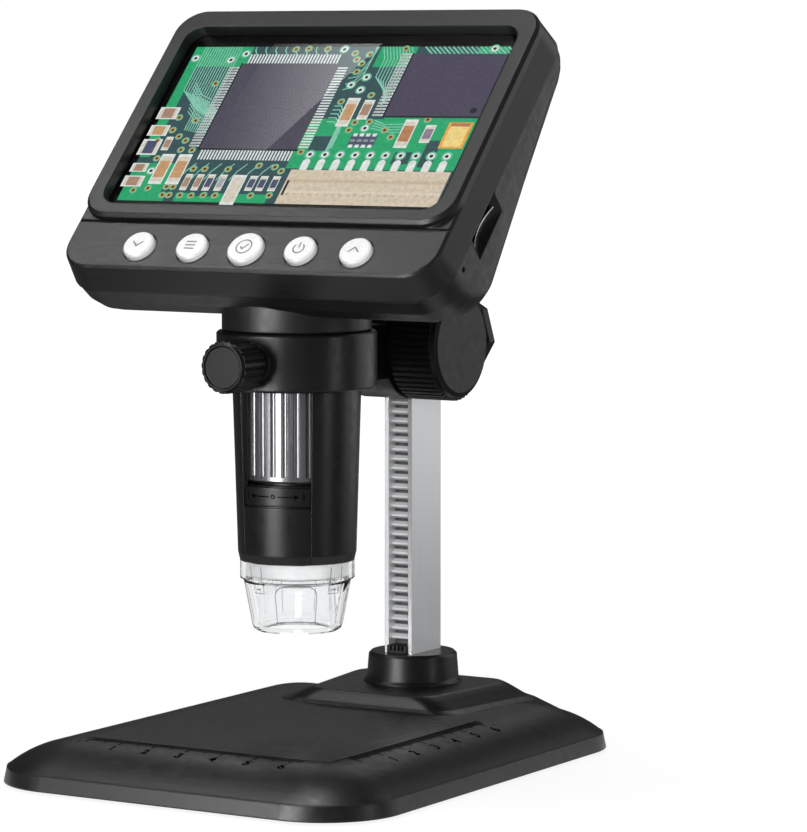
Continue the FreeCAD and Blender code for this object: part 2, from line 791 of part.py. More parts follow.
def make_leds():
    leds = []
    for i in range(8):
        angle = 360 * i / 8
        led = box(5.6, 7.6, -0.9, 0.9, led_board_z - 0.9, led_board_z)
        led.rotate(Vector(0, 0, 0), Vector(0, 0, 1), angle)
        led.translate(Vector(0, barrel_y, 0))
        leds.append(led)
    return Part.makeCompound(leds)


def make_camera_board():
    z = barrel_z + core_height
    board = upright(12.0, 0, barrel_y, z, z + 1.2)
    sensor = box(-3.4, 3.4, barrel_y - 3.4, barrel_y + 3.4, z - 1.0, z)
    plug = box(-4.0, 4.0, barrel_y + 5.0, barrel_y + 8.5, z + 1.2, z + 3.2)
    return board.fuse([sensor, plug]).removeSplitter()


# Clear cap

def make_clear_cap():
    """Clear nose: a flange, a tapered skirt with arched grips and an inner light tube."""
    flange_z = barrel_z - cap_flange_height
    tube_top = barrel_z - spigot_height - 0.6
    rim = cap_rim_radius
    inner_rim = rim - cap_wall
    profile = [(cap_flange_radius - cap_wall, barrel_z - neck_gap), (cap_flange_radius, barrel_z - neck_gap),
               (cap_flange_radius, flange_z), (cap_shoulder_radius, flange_z - 0.5), (rim + 0.35, cap_z + 1.6),
               (rim - 0.1, cap_z + 0.5), (rim - 0.9, cap_z), (cap_tube_radius - cap_tube_wall, cap_z),
               (cap_tube_radius - cap_tube_wall, tube_top), (cap_tube_radius, tube_top),
               (cap_tube_radius, cap_z + 1.5), (inner_rim + 0.35, cap_z + 1.5),
               (cap_shoulder_radius - cap_wall, flange_z - 1.0), (cap_flange_radius - cap_wall, flange_z - 0.2)]
    cap = turned(profile, 0, barrel_y)
    arch = box(-cap_arch_width / 2, cap_arch_width / 2, -cap_flange_radius - 1, -cap_shoulder_radius + 0.55,
               cap_z + 3.0, cap_z + 3.0 + cap_arch_height)
    arch = arch.makeFillet(3.0, [e for e in arch.Edges if e.BoundBox.YLength > 1 and e.BoundBox.ZMin > cap_z + 5])
    cuts = []
    for i in range(4):
        turned_arch = arch.copy()
        turned_arch.rotate(Vector(0, 0, 0), Vector(0, 0, 1), 90 * i)
        turned_arch.translate(Vector(0, barrel_y, 0))
        cuts.append(turned_arch)
    return cap.cut(cuts)


# Screen head

def head_section(half_width, low, high, radius):
    """A rounded rectangle across the head, from the low (v, n) point to the high one."""
    corners = [Vector(-half_width, low[0], low[1]), Vector(half_width, low[0], low[1]),
               Vector(half_width, high[0], high[1]), Vector(-half_width, high[0], high[1])]
    return rounded_polygon(corners, radius)


def side_inset(drop, radius):
    """How far a rounded side has come in where it is the drop away from the back plane."""
    if drop > radius:
        return 0
    return radius - math.sqrt(radius ** 2 - (radius - drop) ** 2)


def back_form(skin):
    """The back shell's outer form, or its hollow where skin is more than zero."""
    lean = math.sqrt(1 + back_slope ** 2)
    slope_angle = math.degrees(math.atan(back_slope))
    low_v = head_bottom + back_side_draft + back_bottom_round
    high_v = head_top - back_side_draft - back_top_round
    low_n = back_bottom_round * lean - back_depth + back_slope * low_v
    high_n = back_top_round * lean - back_depth + back_slope * high_v
    low_r = back_bottom_round - skin
    high_r = back_top_round - skin
    side_r = back_side_round - skin
    widest = head_half_width - back_side_draft - skin
    corner = head_corner - skin / 2
    sections = [head_section(head_half_width - skin, (head_bottom + skin, -front_depth),
                             (head_top - skin, -front_depth), corner)]
    for share in (0, 0.45, 0.75, 1) if skin else (0, 0.15, 0.3, 0.43, 0.55, 0.65, 0.75, 0.85, 0.93, 1):
        low_turn = math.radians((90 + slope_angle) * (1 - share))
        high_turn = math.radians((90 - slope_angle) * (1 - share))
        tilt = math.radians(slope_angle)
        low = (low_v - low_r * math.sin(low_turn - tilt), low_n - low_r * math.cos(low_turn - tilt))
        high = (high_v + high_r * math.sin(high_turn + tilt), high_n - high_r * math.cos(high_turn + tilt))
        low_half = widest - side_inset(low_r * (1 - math.cos(low_turn)), side_r)
        high_half = widest - side_inset(high_r * (1 - math.cos(high_turn)), side_r)
        corners = [Vector(-low_half, *low), Vector(low_half, *low), Vector(high_half, *high),
                   Vector(-high_half, *high)]
        sections.append(rounded_polygon(corners, corner))
    return loft(sections, True)


def make_back_shell():
    """Rounded back shell with the neck that stands on the ring."""
    neck_top = ring_z + neck_top_above_ring
    neck = upright(neck_radius, 0, barrel_y, neck_z, neck_top)
    rim = [e for e in neck.Edges if len(e.Vertexes) == 1]
    neck = neck.makeChamfer(0.4, rim)
    reach = 2 * head_half_width
    front = in_head(box(-reach, reach, -reach, reach, -front_depth, reach))
    shell = in_head(back_form(0)).fuse(neck.cut(front))
    hollow = in_head(back_form(back_wall))
    bore = upright(barrel_collar_radius + fit_gap, 0, barrel_y, neck_z - 1, neck_z + barrel_above_ring)
    upper = upright(neck_radius - back_wall, 0, barrel_y, neck_z + barrel_above_ring, neck_top - back_wall)
    shell = shell.cut([hollow, bore, upper])
    posts = []
    recesses = []
    for u, v in housing_screw_places():
        posts.append(rod(back_post_radius, (u, v, -2 * back_depth), (0, 0, 1), 2 * back_depth - front_depth))
        recesses.append(rod(screw_recess_radius, (u, v, -2 * back_depth), (0, 0, 1),
                            2 * back_depth - screw_seat_depth))
        recesses.append(rod(housing_screw_radius + fit_gap, (u, v, -back_depth), (0, 0, 1), back_depth))
    form = back_form(0)
    shell = shell.fuse([in_head(form.common(post)) for post in posts])
    return shell.cut([in_head(cutter) for cutter in side_cuts() + recesses]).removeSplitter()


def side_cuts():
    """Card slot with its finger scoop, reset hole and charging socket opening."""
    right = head_half_width
    scoop = Part.makeCylinder(scoop_radius, 6.6, Vector(right + scoop_radius - scoop_depth, card_slot_v, -16.6))
    card = box(right - 8, right + 1, card_slot_v - card_slot_length / 2, card_slot_v + card_slot_length / 2,
               -card_slot_depth - card_slot_height / 2, -card_slot_depth + card_slot_height / 2)
    reset = rod(reset_hole_radius, (right - 4, reset_hole_v, -12.2), (1, 0, 0), 6)
    usb = rounded_block(-usb_slot_height / 2, usb_slot_height / 2, -usb_slot_length / 2, usb_slot_length / 2,
                        0, 8, 0.8)
    usb.Placement = FreeCAD.Placement(Vector(-right - 1, usb_slot_v, -14.0), FreeCAD.Rotation(Vector(0, 1, 0), 90))
    return [scoop, card, reset, usb]


def housing_screw_places():
    return [(-housing_screw_u, housing_screw_v), (housing_screw_u, housing_screw_v)]


def make_housing_screws():
    """Two screws from the back hold the shells together at the bottom."""
    screws = []
    length = screw_seat_depth - housing_screw_tip
    for u, v in housing_screw_places():
        head = rod(housing_screw_head_radius, (u, v, -screw_seat_depth - 1.2), (0, 0, 1), 1.2)
        cross = [box(u - 1.3, u + 1.3, v - 0.25, v + 0.25, -screw_seat_depth - 2, -screw_seat_depth - 0.6),
                 box(u - 0.25, u + 0.25, v - 1.3, v + 1.3, -screw_seat_depth - 2, -screw_seat_depth - 0.6)]
        shank = rod(housing_screw_radius, (u, v, -screw_seat_depth - 0.5), (0, 0, 1), length + 0.5)
        screws.append(head.fuse(shank).cut(cross).removeSplitter())
    return in_head(Part.makeCompound(screws))


def button_places():
    """(name, u, radius) of each button, from left to right."""
    names = ["button_down", "button_menu", "button_ok", "button_power", "button_up"]
    places = []
    for i, name in enumerate(names):
        radius = middle_button_radius if i == 2 else button_radius
        places.append((name, (i - 2) * button_pitch, radius))
    return places


def make_front_housing():
    """Front housing with a raised frame round the screen and a lower panel for the buttons."""
    step = bezel_height
    half = face_half_width
    low = face_bottom
    high = face_top
    round_off = 0.6
    shoulder = -step - 0.7
    body = loft([head_section(head_half_width, (head_bottom, -front_depth), (head_top, -front_depth), head_corner),
                 head_section(half, (low, shoulder), (high, shoulder), face_corner),
                 head_section(half - round_off, (low + round_off, -step), (high - round_off, -step),
                              face_corner - round_off)], True)
    edge = bezel_edge
    frame = loft([head_section(half, (bezel_bottom, shoulder), (high, shoulder), face_corner),
                  head_section(half - 0.1, (bezel_bottom, -edge), (high - 0.1, -edge), face_corner),
                  head_section(half - edge, (bezel_bottom + edge, 0), (high - edge, 0), face_corner - edge)], True)
    gap = box(-half - 1, half + 1, bezel_bottom - 0.7, bezel_bottom + 0.1, shoulder - 0.1, -step + 0.1)
    wide = head_half_width - front_wall
    narrow = face_half_width - front_wall
    hollow = loft([head_section(wide, (head_bottom + front_wall, -front_depth - 1),
                                (head_top - front_wall, -front_depth - 1), inner_corner + 1.3),
                   head_section(narrow, (face_bottom + front_wall, -picture_depth),
                                (face_top - front_wall, -picture_depth), inner_corner)], True)
    sill = box(-head_half_width, head_half_width, head_bottom, bezel_bottom + 0.6, -step - 2.0, 0)
    hollow = hollow.cut(sill)
    window = rounded_block(-window_half_width, window_half_width, -window_half_height, window_half_height,
                           -front_depth, 1, window_corner)
    holes = [rod(radius + button_gap, (u, button_v, -front_depth), (0, 0, 1), front_depth + 1)
             for name, u, radius in button_places()]
    posts = []
    for u, v in housing_screw_places():
        post = rod(front_post_radius, (u, v, -front_depth), (0, 0, 1), front_depth - step - 1)
        hole = rod(housing_screw_radius + fit_gap, (u, v, -front_depth - 1), (0, 0, 1), front_depth - 4)
        posts.append(post.cut(hole))
    shell = body.fuse(frame).cut([gap, hollow, window]).fuse(posts)
    return in_head(shell.cut(holes + side_cuts()).removeSplitter())


def make_screen_cover():
    sheet = box(-lcd_width / 2, lcd_width / 2, -lcd_height / 2, lcd_height / 2,
                -picture_depth - cover_sheet_thickness, -picture_depth)
    return in_head(sheet)


def make_lcd():
    top = -picture_depth - cover_sheet_thickness
    panel = box(-lcd_width / 2, lcd_width / 2, -lcd_height / 2, lcd_height / 2, top - lcd_thickness, top)
    return in_head(panel)


def make_main_board():
    board = box(-board_width / 2, board_width / 2, -board_height / 2, board_height / 2,
                -board_depth - board_thickness, -board_depth)
    chips = []
    for u, v, half in ((-12, 8, 6), (14, 4, 4), (-30, -14, 3), (22, -18, 3)):
        chips.append(box(u - half, u + half, v - half, v + half, -board_depth, -board_depth + 1.2))
    return in_head(board.fuse(chips).removeSplitter())


def make_battery():
    top = -board_depth - board_thickness
    cell = rounded_block(-battery_width / 2, battery_width / 2, -battery_height / 2 - 8, battery_height / 2 - 8,
                         top - battery_thickness, top, 3.0)
    return in_head(cell)


def make_button_board():
    strip = box(-40, 40, button_v - 4.5, button_v + 4.5, -button_board_depth - board_thickness, -button_board_depth)
    return in_head(strip)


def make_button_switches():
    half = switch_size / 2
    switches = []
    for name, u, radius in button_places():
        switches.append(box(u - half, u + half, button_v - half, button_v + half,
                            -button_board_depth, -button_board_depth + 1.6))
    return in_head(Part.makeCompound(switches))


def make_button(u, radius):
    """A domed cap with a rounded edge, a collar behind the panel and a stem over its switch."""
    face_n = -bezel_height
    top = face_n + button_proud
    stem = -button_board_depth + 1.6 + button_travel + 0.1
    under = face_n - 2.0
    profile = [(0, top), (radius - button_edge, top - 0.1), (radius - 0.1, top - button_edge),
               (radius, top - button_edge - 0.4), (radius, under - 0.1), (radius + button_collar, under - 0.1),
               (radius + button_collar, under - 0.9), (1.8, under - 0.9), (1.8, stem), (0, stem)]
    cap = turned(profile, 0, 0)
    cap.translate(Vector(u, button_v, 0))
    return in_head(cap)


def make_card_socket():
    inner = board_width / 2
    right = head_half_width - 8.4
    socket = box(inner - 12, right, card_slot_v - 7.2, card_slot_v + 7.2,
                 -board_depth - board_thickness - 1.9, -board_depth - board_thickness)
    slot = box(inner - 11, right + 1, card_slot_v - card_slot_length / 2, card_slot_v + card_slot_length / 2,
               -card_slot_depth - card_slot_height / 2, -card_slot_depth + card_slot_height / 2)
    return in_head(socket.cut(slot))


def make_usb_socket():
    outer = -head_half_width + 3.0
    top = -board_depth - board_thickness
    socket = box(outer, outer + 9, usb_slot_v - 4.4, usb_slot_v + 4.4, top - 3.8, top)
    mouth = box(outer - 1, outer + 6, usb_slot_v - 3.6, usb_slot_v + 3.6, top - 3.2, top - 0.6)
    return in_head(socket.cut(mouth))


# Every piece in its own file

def make_all():
    save("base_shell", make_base_shell())
    save("base_cover", make_base_cover())
    save("weight_plate", make_weight_plate())
    save("base_feet", make_base_feet())
    save("base_screws", make_base_screws())
    save("collar", make_collar())
    save("column", make_column())
    save("column_bolt", make_column_bolt())
    save("column_cap", make_column_cap())
    save("rack", make_rack())
    save("rack_end_stop", make_end_stop())
    save("slider_arm", make_slider_arm())
    save("shaft_bushes", make_shaft_bushes())
    save("brake_pad", make_brake_pad())
    save("focus_knob", make_focus_knob())
    save("pinion_shaft", make_pinion_shaft())
    save("column_lock_knob", make_column_lock_knob())
    save("column_lock_stud", make_column_lock_stud())
    save("barrel_lock_knob", make_barrel_lock_knob())
    save("barrel_lock_screw", make_barrel_lock_screw())
    save("barrel_shell", make_barrel_shell())
    save("front_panel", make_front_panel())
    save("barrel_core", make_barrel_core())
    save("camera_board", make_camera_board())
    save("led_board", make_led_board())
    save("leds", make_leds())
    save("focus_wheel", make_focus_wheel())
    save("lens_carrier", make_lens_carrier())
    save("objective_lens", make_objective_lens())
    save("clear_cap", make_clear_cap())
    save("front_housing", make_front_housing())
    save("back_shell", make_back_shell())
    save("housing_screws", make_housing_screws())
    save("screen_cover", make_screen_cover())
    save("lcd_panel", make_lcd())
    save("main_board", make_main_board())
    save("battery", make_battery())
    save("button_board", make_button_board())
    save("button_switches", make_button_switches())
    save("card_socket", make_card_socket())
    save("usb_socket", make_usb_socket())
    for name, u, radius in button_places():
        save(name, make_button(u, radius))


make_all()
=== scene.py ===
import bpy
import math
from mathutils import Matrix, Vector
from mathutils.bvhtree import BVHTree


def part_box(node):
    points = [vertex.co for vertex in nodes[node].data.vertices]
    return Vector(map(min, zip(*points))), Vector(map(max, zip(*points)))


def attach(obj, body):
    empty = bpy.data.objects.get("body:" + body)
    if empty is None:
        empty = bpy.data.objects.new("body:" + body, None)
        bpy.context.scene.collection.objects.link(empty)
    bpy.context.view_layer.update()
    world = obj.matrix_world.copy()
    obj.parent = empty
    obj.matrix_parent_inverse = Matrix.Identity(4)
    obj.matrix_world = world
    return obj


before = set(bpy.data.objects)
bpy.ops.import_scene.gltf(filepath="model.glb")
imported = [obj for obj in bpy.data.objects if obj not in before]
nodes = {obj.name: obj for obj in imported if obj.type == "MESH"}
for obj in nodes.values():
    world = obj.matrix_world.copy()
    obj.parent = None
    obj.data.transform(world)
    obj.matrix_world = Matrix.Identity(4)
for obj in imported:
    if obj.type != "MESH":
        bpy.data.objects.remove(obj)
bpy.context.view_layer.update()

MM = 0.001
BARREL_Y = -0.0085

# The screen head's frame: u to the right, v up the screen and n out of it
HEAD_ORIGIN = Vector((0, -2.95, 166.95)) * MM
HEAD_TURN = Matrix.Rotation(math.radians(46.5), 4, "X")
HEAD = Matrix.Translation(HEAD_ORIGIN) @ HEAD_TURN
PICTURE_N = -4.06
COVER_N = -3.3
BUTTON_ROW_V = -43.8
BUTTON_TOP = -0.6
PRINT_LIFT = 0.03 * MM


# Shader helpers

def new_material(name):
    material = bpy.data.materials.new(name)
    material.use_nodes = True
    tree = material.node_tree
    tree.nodes.clear()
    out = tree.nodes.new("ShaderNodeOutputMaterial")
    shader = tree.nodes.new("ShaderNodeBsdfPrincipled")
    tree.links.new(shader.outputs["BSDF"], out.inputs["Surface"])
    return material, tree, shader


def add(tree, kind, links=None, **values):
    """A shader node with its plain inputs set by name and its linked inputs joined."""
    node = tree.nodes.new("ShaderNode" + kind)
    for key, value in values.items():
        if key in node.inputs:
            node.inputs[key].default_value = value
        else:
            setattr(node, key, value)
    for key, socket in (links or {}).items():
        tree.links.new(socket, node.inputs[key])
    return node


def place_of(tree, stretch=(1, 1, 1)):
    """Coordinates in metres on the piece, stretched along its axes."""
    coordinates = add(tree, "TexCoord")
    mapping = add(tree, "Mapping", {"Vector": coordinates.outputs["Object"]}, Scale=stretch)
    return mapping.outputs["Vector"]


def noise(tree, scale, detail=2.0, stretch=(1, 1, 1)):
    node = add(tree, "TexNoise", {"Vector": place_of(tree, stretch)}, Scale=scale, Detail=detail)
    return node.outputs["Fac"]


def remap(tree, value, start, end, low, high, kind="LINEAR"):
    """Turns a value's range from start to end into the range from low to high."""
    node = add(tree, "MapRange", {"Value": value}, interpolation_type=kind,
               **{"From Min": start, "From Max": end, "To Min": low, "To Max": high})
    return node.outputs["Result"]


def ranged(tree, fac, low, high):
    """Spreads a noise, whose values lie mostly between 0.3 and 0.7, from low to high."""
    return remap(tree, fac, 0.3, 0.7, low, high)


MIX_FIRST, MIX_SECOND, MIX_RESULT = 6, 7, 2


def blend(tree, fac, first, second):
    """Mixes two colours. Each is a plain colour or a socket."""
    node = add(tree, "Mix", {"Factor": fac}, data_type="RGBA")
    for index, colour in ((MIX_FIRST, first), (MIX_SECOND, second)):
        if isinstance(colour, tuple):
            node.inputs[index].default_value = (*colour, 1)
        else:
            tree.links.new(colour, node.inputs[index])
    return node.outputs[MIX_RESULT]


def soft_edges(tree, radius):
    node = add(tree, "Bevel", samples=6)
    node.inputs["Radius"].default_value = radius
    return node.outputs["Normal"]


def plastic(name, colour, rough=0.42, grain=2600, bump=0.05, edge=0.0004, gloss=0.5, stretch=(1, 1, 1)):
    """Moulded plastic with a fine spark-eroded or lined grain, slight mottling and softened edges."""
    material, tree, shader = new_material(name)
    if stretch == (1, 1, 1):
        mottle, wear = noise(tree, 130, 3), noise(tree, 420, 3)
        contrast, spread = 1.12, 0.055
    else:
        mottle = wear = noise(tree, grain, 3, stretch)
        contrast, spread = 1.5, 0.08
    lighter = tuple(c * contrast for c in colour)
    tree.links.new(blend(tree, ranged(tree, mottle, 0, 1), colour, lighter), shader.inputs["Base Color"])
    tree.links.new(ranged(tree, wear, rough - spread, rough + spread), shader.inputs["Roughness"])
    shader.inputs["Specular IOR Level"].default_value = gloss
    links = {"Height": noise(tree, grain, 2, stretch)}
    if edge:
        links["Normal"] = soft_edges(tree, edge)
    grainy = add(tree, "Bump", links, Strength=bump, Distance=0.0002)
    tree.links.new(grainy.outputs["Normal"], shader.inputs["Normal"])
    return material


def metal(name, colour, rough, stretch, scale=400, bump=0.03, spread=0.08, edge=0.0002, metallic=1.0,
          contrast=0.18):
    """Metal with fine drawn or turned lines along the axis that the stretch leaves short."""
    material, tree, shader = new_material(name)
    lines = noise(tree, scale, 3, stretch)
    darker = tuple(c * (1 - contrast) for c in colour)
    tree.links.new(blend(tree, ranged(tree, lines, 0, 1), darker, colour), shader.inputs["Base Color"])
    tree.links.new(ranged(tree, lines, rough - spread / 2, rough + spread), shader.inputs["Roughness"])
    shader.inputs["Metallic"].default_value = metallic
    links = {"Height": lines}
    if edge:
        links["Normal"] = soft_edges(tree, edge)
    lined = add(tree, "Bump", links, Strength=bump, Distance=0.0001)
    tree.links.new(lined.outputs["Normal"], shader.inputs["Normal"])
    return material


def clear(name, colour, rough, ior=1.46, wave=0.02, smoke=0.0, haze=0.03):
    """Clear moulding with a faint flow ripple, a little darker where it is thick."""
    material, tree, shader = new_material(name)
    shader.inputs["Base Color"].default_value = (*colour, 1)
    shader.inputs["Transmission Weight"].default_value = 1.0
    shader.inputs["IOR"].default_value = ior
    shader.inputs["Roughness"].default_value = rough
    if haze:
        tree.links.new(ranged(tree, noise(tree, 300, 2), rough, rough + haze), shader.inputs["Roughness"])
    ripple = add(tree, "Bump", {"Height": noise(tree, 180, 2)}, Strength=wave, Distance=0.0004)
    tree.links.new(ripple.outputs["Normal"], shader.inputs["Normal"])
    if smoke:
        depth = add(tree, "VolumeAbsorption", Color=(0.62, 0.65, 0.67, 1), Density=smoke)
        out = [n for n in tree.nodes if n.type == "OUTPUT_MATERIAL"][0]
        tree.links.new(depth.outputs["Volume"], out.inputs["Volume"])
    return material


def clear_line(name, colour):
    """A thin painted dark line, standing for the shade at a clear wall's edge, that still lets some light
    through.
    """
    material, tree, shader = new_material(name)
    lighter = tuple(c * 2 for c in colour)
    tree.links.new(blend(tree, ranged(tree, noise(tree, 700, 2), 0, 1), colour, lighter),
                   shader.inputs["Base Color"])
    shader.inputs["Roughness"].default_value = 0.15
    shader.inputs["Alpha"].default_value = 0.6
    return material


def lit(name, colour, power, speck=0.12):
    """A colour of the screen's picture: it shines, with the picture's fine mottling."""
    material, tree, shader = new_material(name)
    darker = tuple(c * (1 - speck) for c in colour)
    lighter = tuple(min(1, c * (1 + speck)) for c in colour)
    shade = blend(tree, ranged(tree, noise(tree, 900, 3), 0, 1), darker, lighter)
    shader.inputs["Base Color"].default_value = (0.01, 0.01, 0.01, 1)
    tree.links.new(shade, shader.inputs["Emission Color"])
    shader.inputs["Emission Strength"].default_value = power
    shader.inputs["Roughness"].default_value = 0.35
    shader.inputs["Specular IOR Level"].default_value = 0.1
    return material


# Materials of the carried-over pieces

def paint(names, material):
    for name in names:
        node = nodes[name]
        for slot in node.material_slots:
            slot.material = material
        if not node.material_slots:
            node.data.materials.append(material)


def rack_material():
    """Pale teeth over a root painted dark as shade, told apart by how deep the surface lies in the slot."""
    material, tree, shader = new_material("rack_plastic")
    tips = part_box("rack")[0].y
    teeth_depth, root_depth = 0.0014, 0.0018
    split = add(tree, "SeparateXYZ", {"Vector": place_of(tree)})
    depth = remap(tree, split.outputs["Y"], tips + teeth_depth, tips + root_depth, 0.0, 1.0)
    mottled = blend(tree, ranged(tree, noise(tree, 500, 2), 0, 1), (0.86, 0.87, 0.88), (0.93, 0.93, 0.93))
    # Painted shade: surfaces deeper in the slot than the tooth flanks are coloured near black.
    tree.links.new(blend(tree, depth, mottled, (0.06, 0.06, 0.062)), shader.inputs["Base Color"])
    shader.inputs["Roughness"].default_value = 0.38
    fine = add(tree, "Bump", {"Height": noise(tree, 1500, 2), "Normal": soft_edges(tree, 0.00015)},
               Strength=0.04, Distance=0.0001)
    tree.links.new(fine.outputs["Normal"], shader.inputs["Normal"])
    return material


def core_material():
    """Black sleeve whose lower end, behind the clear nose, is a pale diffusing ring."""
    material, tree, shader = new_material("core_plastic")
    shoulder = 54.4 * MM
    split = add(tree, "SeparateXYZ", {"Vector": place_of(tree)})
    up = remap(tree, split.outputs["Z"], shoulder - 0.0002, shoulder, 0.0, 1.0)
    pale = blend(tree, ranged(tree, noise(tree, 500, 2), 0, 1), (0.86, 0.86, 0.87), (0.92, 0.92, 0.92))
    tree.links.new(blend(tree, up, pale, (0.01, 0.01, 0.01)), shader.inputs["Base Color"])
    shader.inputs["Roughness"].default_value = 0.4
    return material


black_head = plastic("head_plastic", (0.0070, 0.0070, 0.0078), 0.38, 4200, 0.22, 0.0005, stretch=(0.07, 1, 1))
black_back = plastic("back_plastic", (0.0062, 0.0062, 0.0068), 0.42, 2200, 0.10, 0.0005)
black_base = plastic("base_plastic", (0.0058, 0.0058, 0.0064), 0.38, 2400, 0.10, 0.0006)
black_slider = plastic("slider_plastic", (0.0042, 0.0042, 0.0046), 0.34, 2600, 0.02, 0.0006)
black_barrel = plastic("barrel_plastic", (0.0042, 0.0042, 0.0046), 0.32, 2600, 0.0, 0.0004)
black_knob = plastic("knob_plastic", (0.0045, 0.0045, 0.0049), 0.36, 2400, 0.04, 0.0003, 0.27)
black_inner = plastic("inner_plastic", (0.01, 0.01, 0.01), 0.5, 1500, 0.05, 0)
rubber = plastic("foot_rubber", (0.012, 0.012, 0.012), 0.75, 1800, 0.2, 0.0004)
white_button = plastic("button_plastic", (0.80, 0.80, 0.81), 0.28, 2600, 0.02, 0.0003)
steel = metal("steel", (0.55, 0.55, 0.56), 0.32, (1, 1, 0.1))
brass = metal("bush_brass", (0.72, 0.53, 0.25), 0.3, (0.1, 1, 1))
aluminium = metal("column_metal", (0.86, 0.87, 0.89), 0.36, (1, 1, 0.02), 3000, 0.006, 0.02, metallic=0.72,
                  contrast=0.05)
wheel_metal = metal("wheel_metal", (0.26, 0.26, 0.27), 0.27, (1, 1, 0.03), 900, 0.02, 0.05, 0.00012, 0.85)
board = plastic("solder_mask", (0.01, 0.12, 0.05), 0.3, 900, 0.1, 0)
wrap = plastic("battery_wrap", (0.12, 0.14, 0.18), 0.3, 600, 0.1, 0)
plate = plastic("weight_paint", (0.10, 0.10, 0.105), 0.5, 900, 0.2, 0)
lamp = plastic("led_white", (0.85, 0.83, 0.7), 0.2, 900, 0.02, 0)
clear_cap = clear("clear_plastic", (0.99, 0.993, 0.995), 0.02, smoke=45.0)
clear_sheet = clear("screen_sheet", (0.98, 0.983, 0.985), 0.0, 1.45, 0.0, haze=0)
lens_glass = clear("lens_glass", (0.85, 0.92, 0.97), 0.0, 1.5, 0.0)
panel_black = plastic("panel_black", (0.004, 0.004, 0.0045), 0.2, 900, 0.01, 0)

paint(["front_housing"], black_head)
paint(["back_shell"], black_back)
paint(["base_shell", "base_cover"], black_base)
paint(["slider_arm", "collar", "rack_end_stop", "column_cap"], black_slider)
paint(["barrel_shell", "front_panel"], black_barrel)
paint(["focus_knob", "column_lock_knob", "barrel_lock_knob"], black_knob)
paint(["lens_carrier", "button_switches"], black_inner)
paint(["barrel_core"], core_material())
paint(["base_feet", "brake_pad"], rubber)
paint(["button_down", "button_menu", "button_ok", "button_power", "button_up"], white_button)
paint(["base_screws", "column_bolt", "pinion_shaft", "column_lock_stud", "barrel_lock_screw"], steel)
paint(["housing_screws", "card_socket", "usb_socket"], steel)
paint(["shaft_bushes"], brass)
paint(["column"], aluminium)
paint(["focus_wheel"], wheel_metal)
paint(["rack"], rack_material())
paint(["main_board", "button_board", "led_board", "camera_board"], board)
paint(["battery"], wrap)
paint(["weight_plate"], plate)
paint(["leds"], lamp)
paint(["clear_cap"], clear_cap)
paint(["screen_cover"], clear_sheet)
paint(["objective_lens"], lens_glass)
paint(["lcd_panel"], panel_black)


# Flat drawing helpers: a sheet of thin polygons, each with its own colour

class Sheet:
    """Collects flat polygons in millimetres and makes one mesh piece of them. Higher layers lie on top."""

    step = 0.004

    def __init__(self, name):
        self.name = name
        self.points = []
        self.faces = []
        self.colours = []
        self.palette = []

    def polygon(self, corners, colour, layer=0):
        start = len(self.points)
        self.points += [(x, y, layer * self.step) for x, y in corners]
        self.faces.append(list(range(start, start + len(corners))))
        if colour not in self.palette:
            self.palette.append(colour)
        self.colours.append(self.palette.index(colour))

    def block(self, x0, x1, y0, y1, colour, layer=0):
        self.polygon([(x0, y0), (x1, y0), (x1, y1), (x0, y1)], colour, layer)

    def disc(self, x, y, radius, colour, layer=0, sides=16, hole=0.0):
        ring = [(math.cos(2 * math.pi * i / sides), math.sin(2 * math.pi * i / sides)) for i in range(sides)]
        if not hole:
            self.polygon([(x + radius * a, y + radius * b) for a, b in ring], colour, layer)
            return
        for i in range(sides):
            (a, b), (c, d) = ring[i], ring[(i + 1) % sides]
            self.polygon([(x + hole * a, y + hole * b), (x + radius * a, y + radius * b),
                          (x + radius * c, y + radius * d), (x + hole * c, y + hole * d)], colour, layer)

    def line(self, route, width, colour, layer=0):
        """A ribbon along a route, mitred at its corners."""
        half = width / 2
        sides = []
        for i, point in enumerate(route):
            here = Vector(point)
            before = (here - Vector(route[i - 1])).normalized() if i else None
            after = (Vector(route[i + 1]) - here).normalized() if i < len(route) - 1 else None
            along = ((before or after) + (after or before)).normalized()
            across = Vector((-along.y, along.x))
            mitre = across * half / max(0.4, along.dot(after or before))
            sides.append((here + mitre, here - mitre))
        for (a, b), (c, d) in zip(sides, sides[1:]):
            self.polygon([tuple(b), tuple(d), tuple(c), tuple(a)], colour, layer)

    def build(self, body, place, materials):
        mesh = bpy.data.meshes.new(self.name)
        mesh.from_pydata([tuple(place(Vector(p) * MM)) for p in self.points], [], self.faces)
        for colour in self.palette:
            mesh.materials.append(materials[colour])
        mesh.polygons.foreach_set("material_index", self.colours)
        piece = bpy.data.objects.new(self.name, mesh)
        bpy.context.collection.objects.link(piece)
        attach(piece, body)


# The picture on the screen: a magnified circuit board, in millimetres from the screen's middle.
# Layers: 0 to 2 the board's colours, 3 tracks, 4 to 6 small parts, 5 to 9 chips and connector.

PICTURE_LEFT, PICTURE_RIGHT, PICTURE_LOW, PICTURE_HIGH = -48.2, 47.2, -26.9, 27.1
LIT_POWER = 0.92


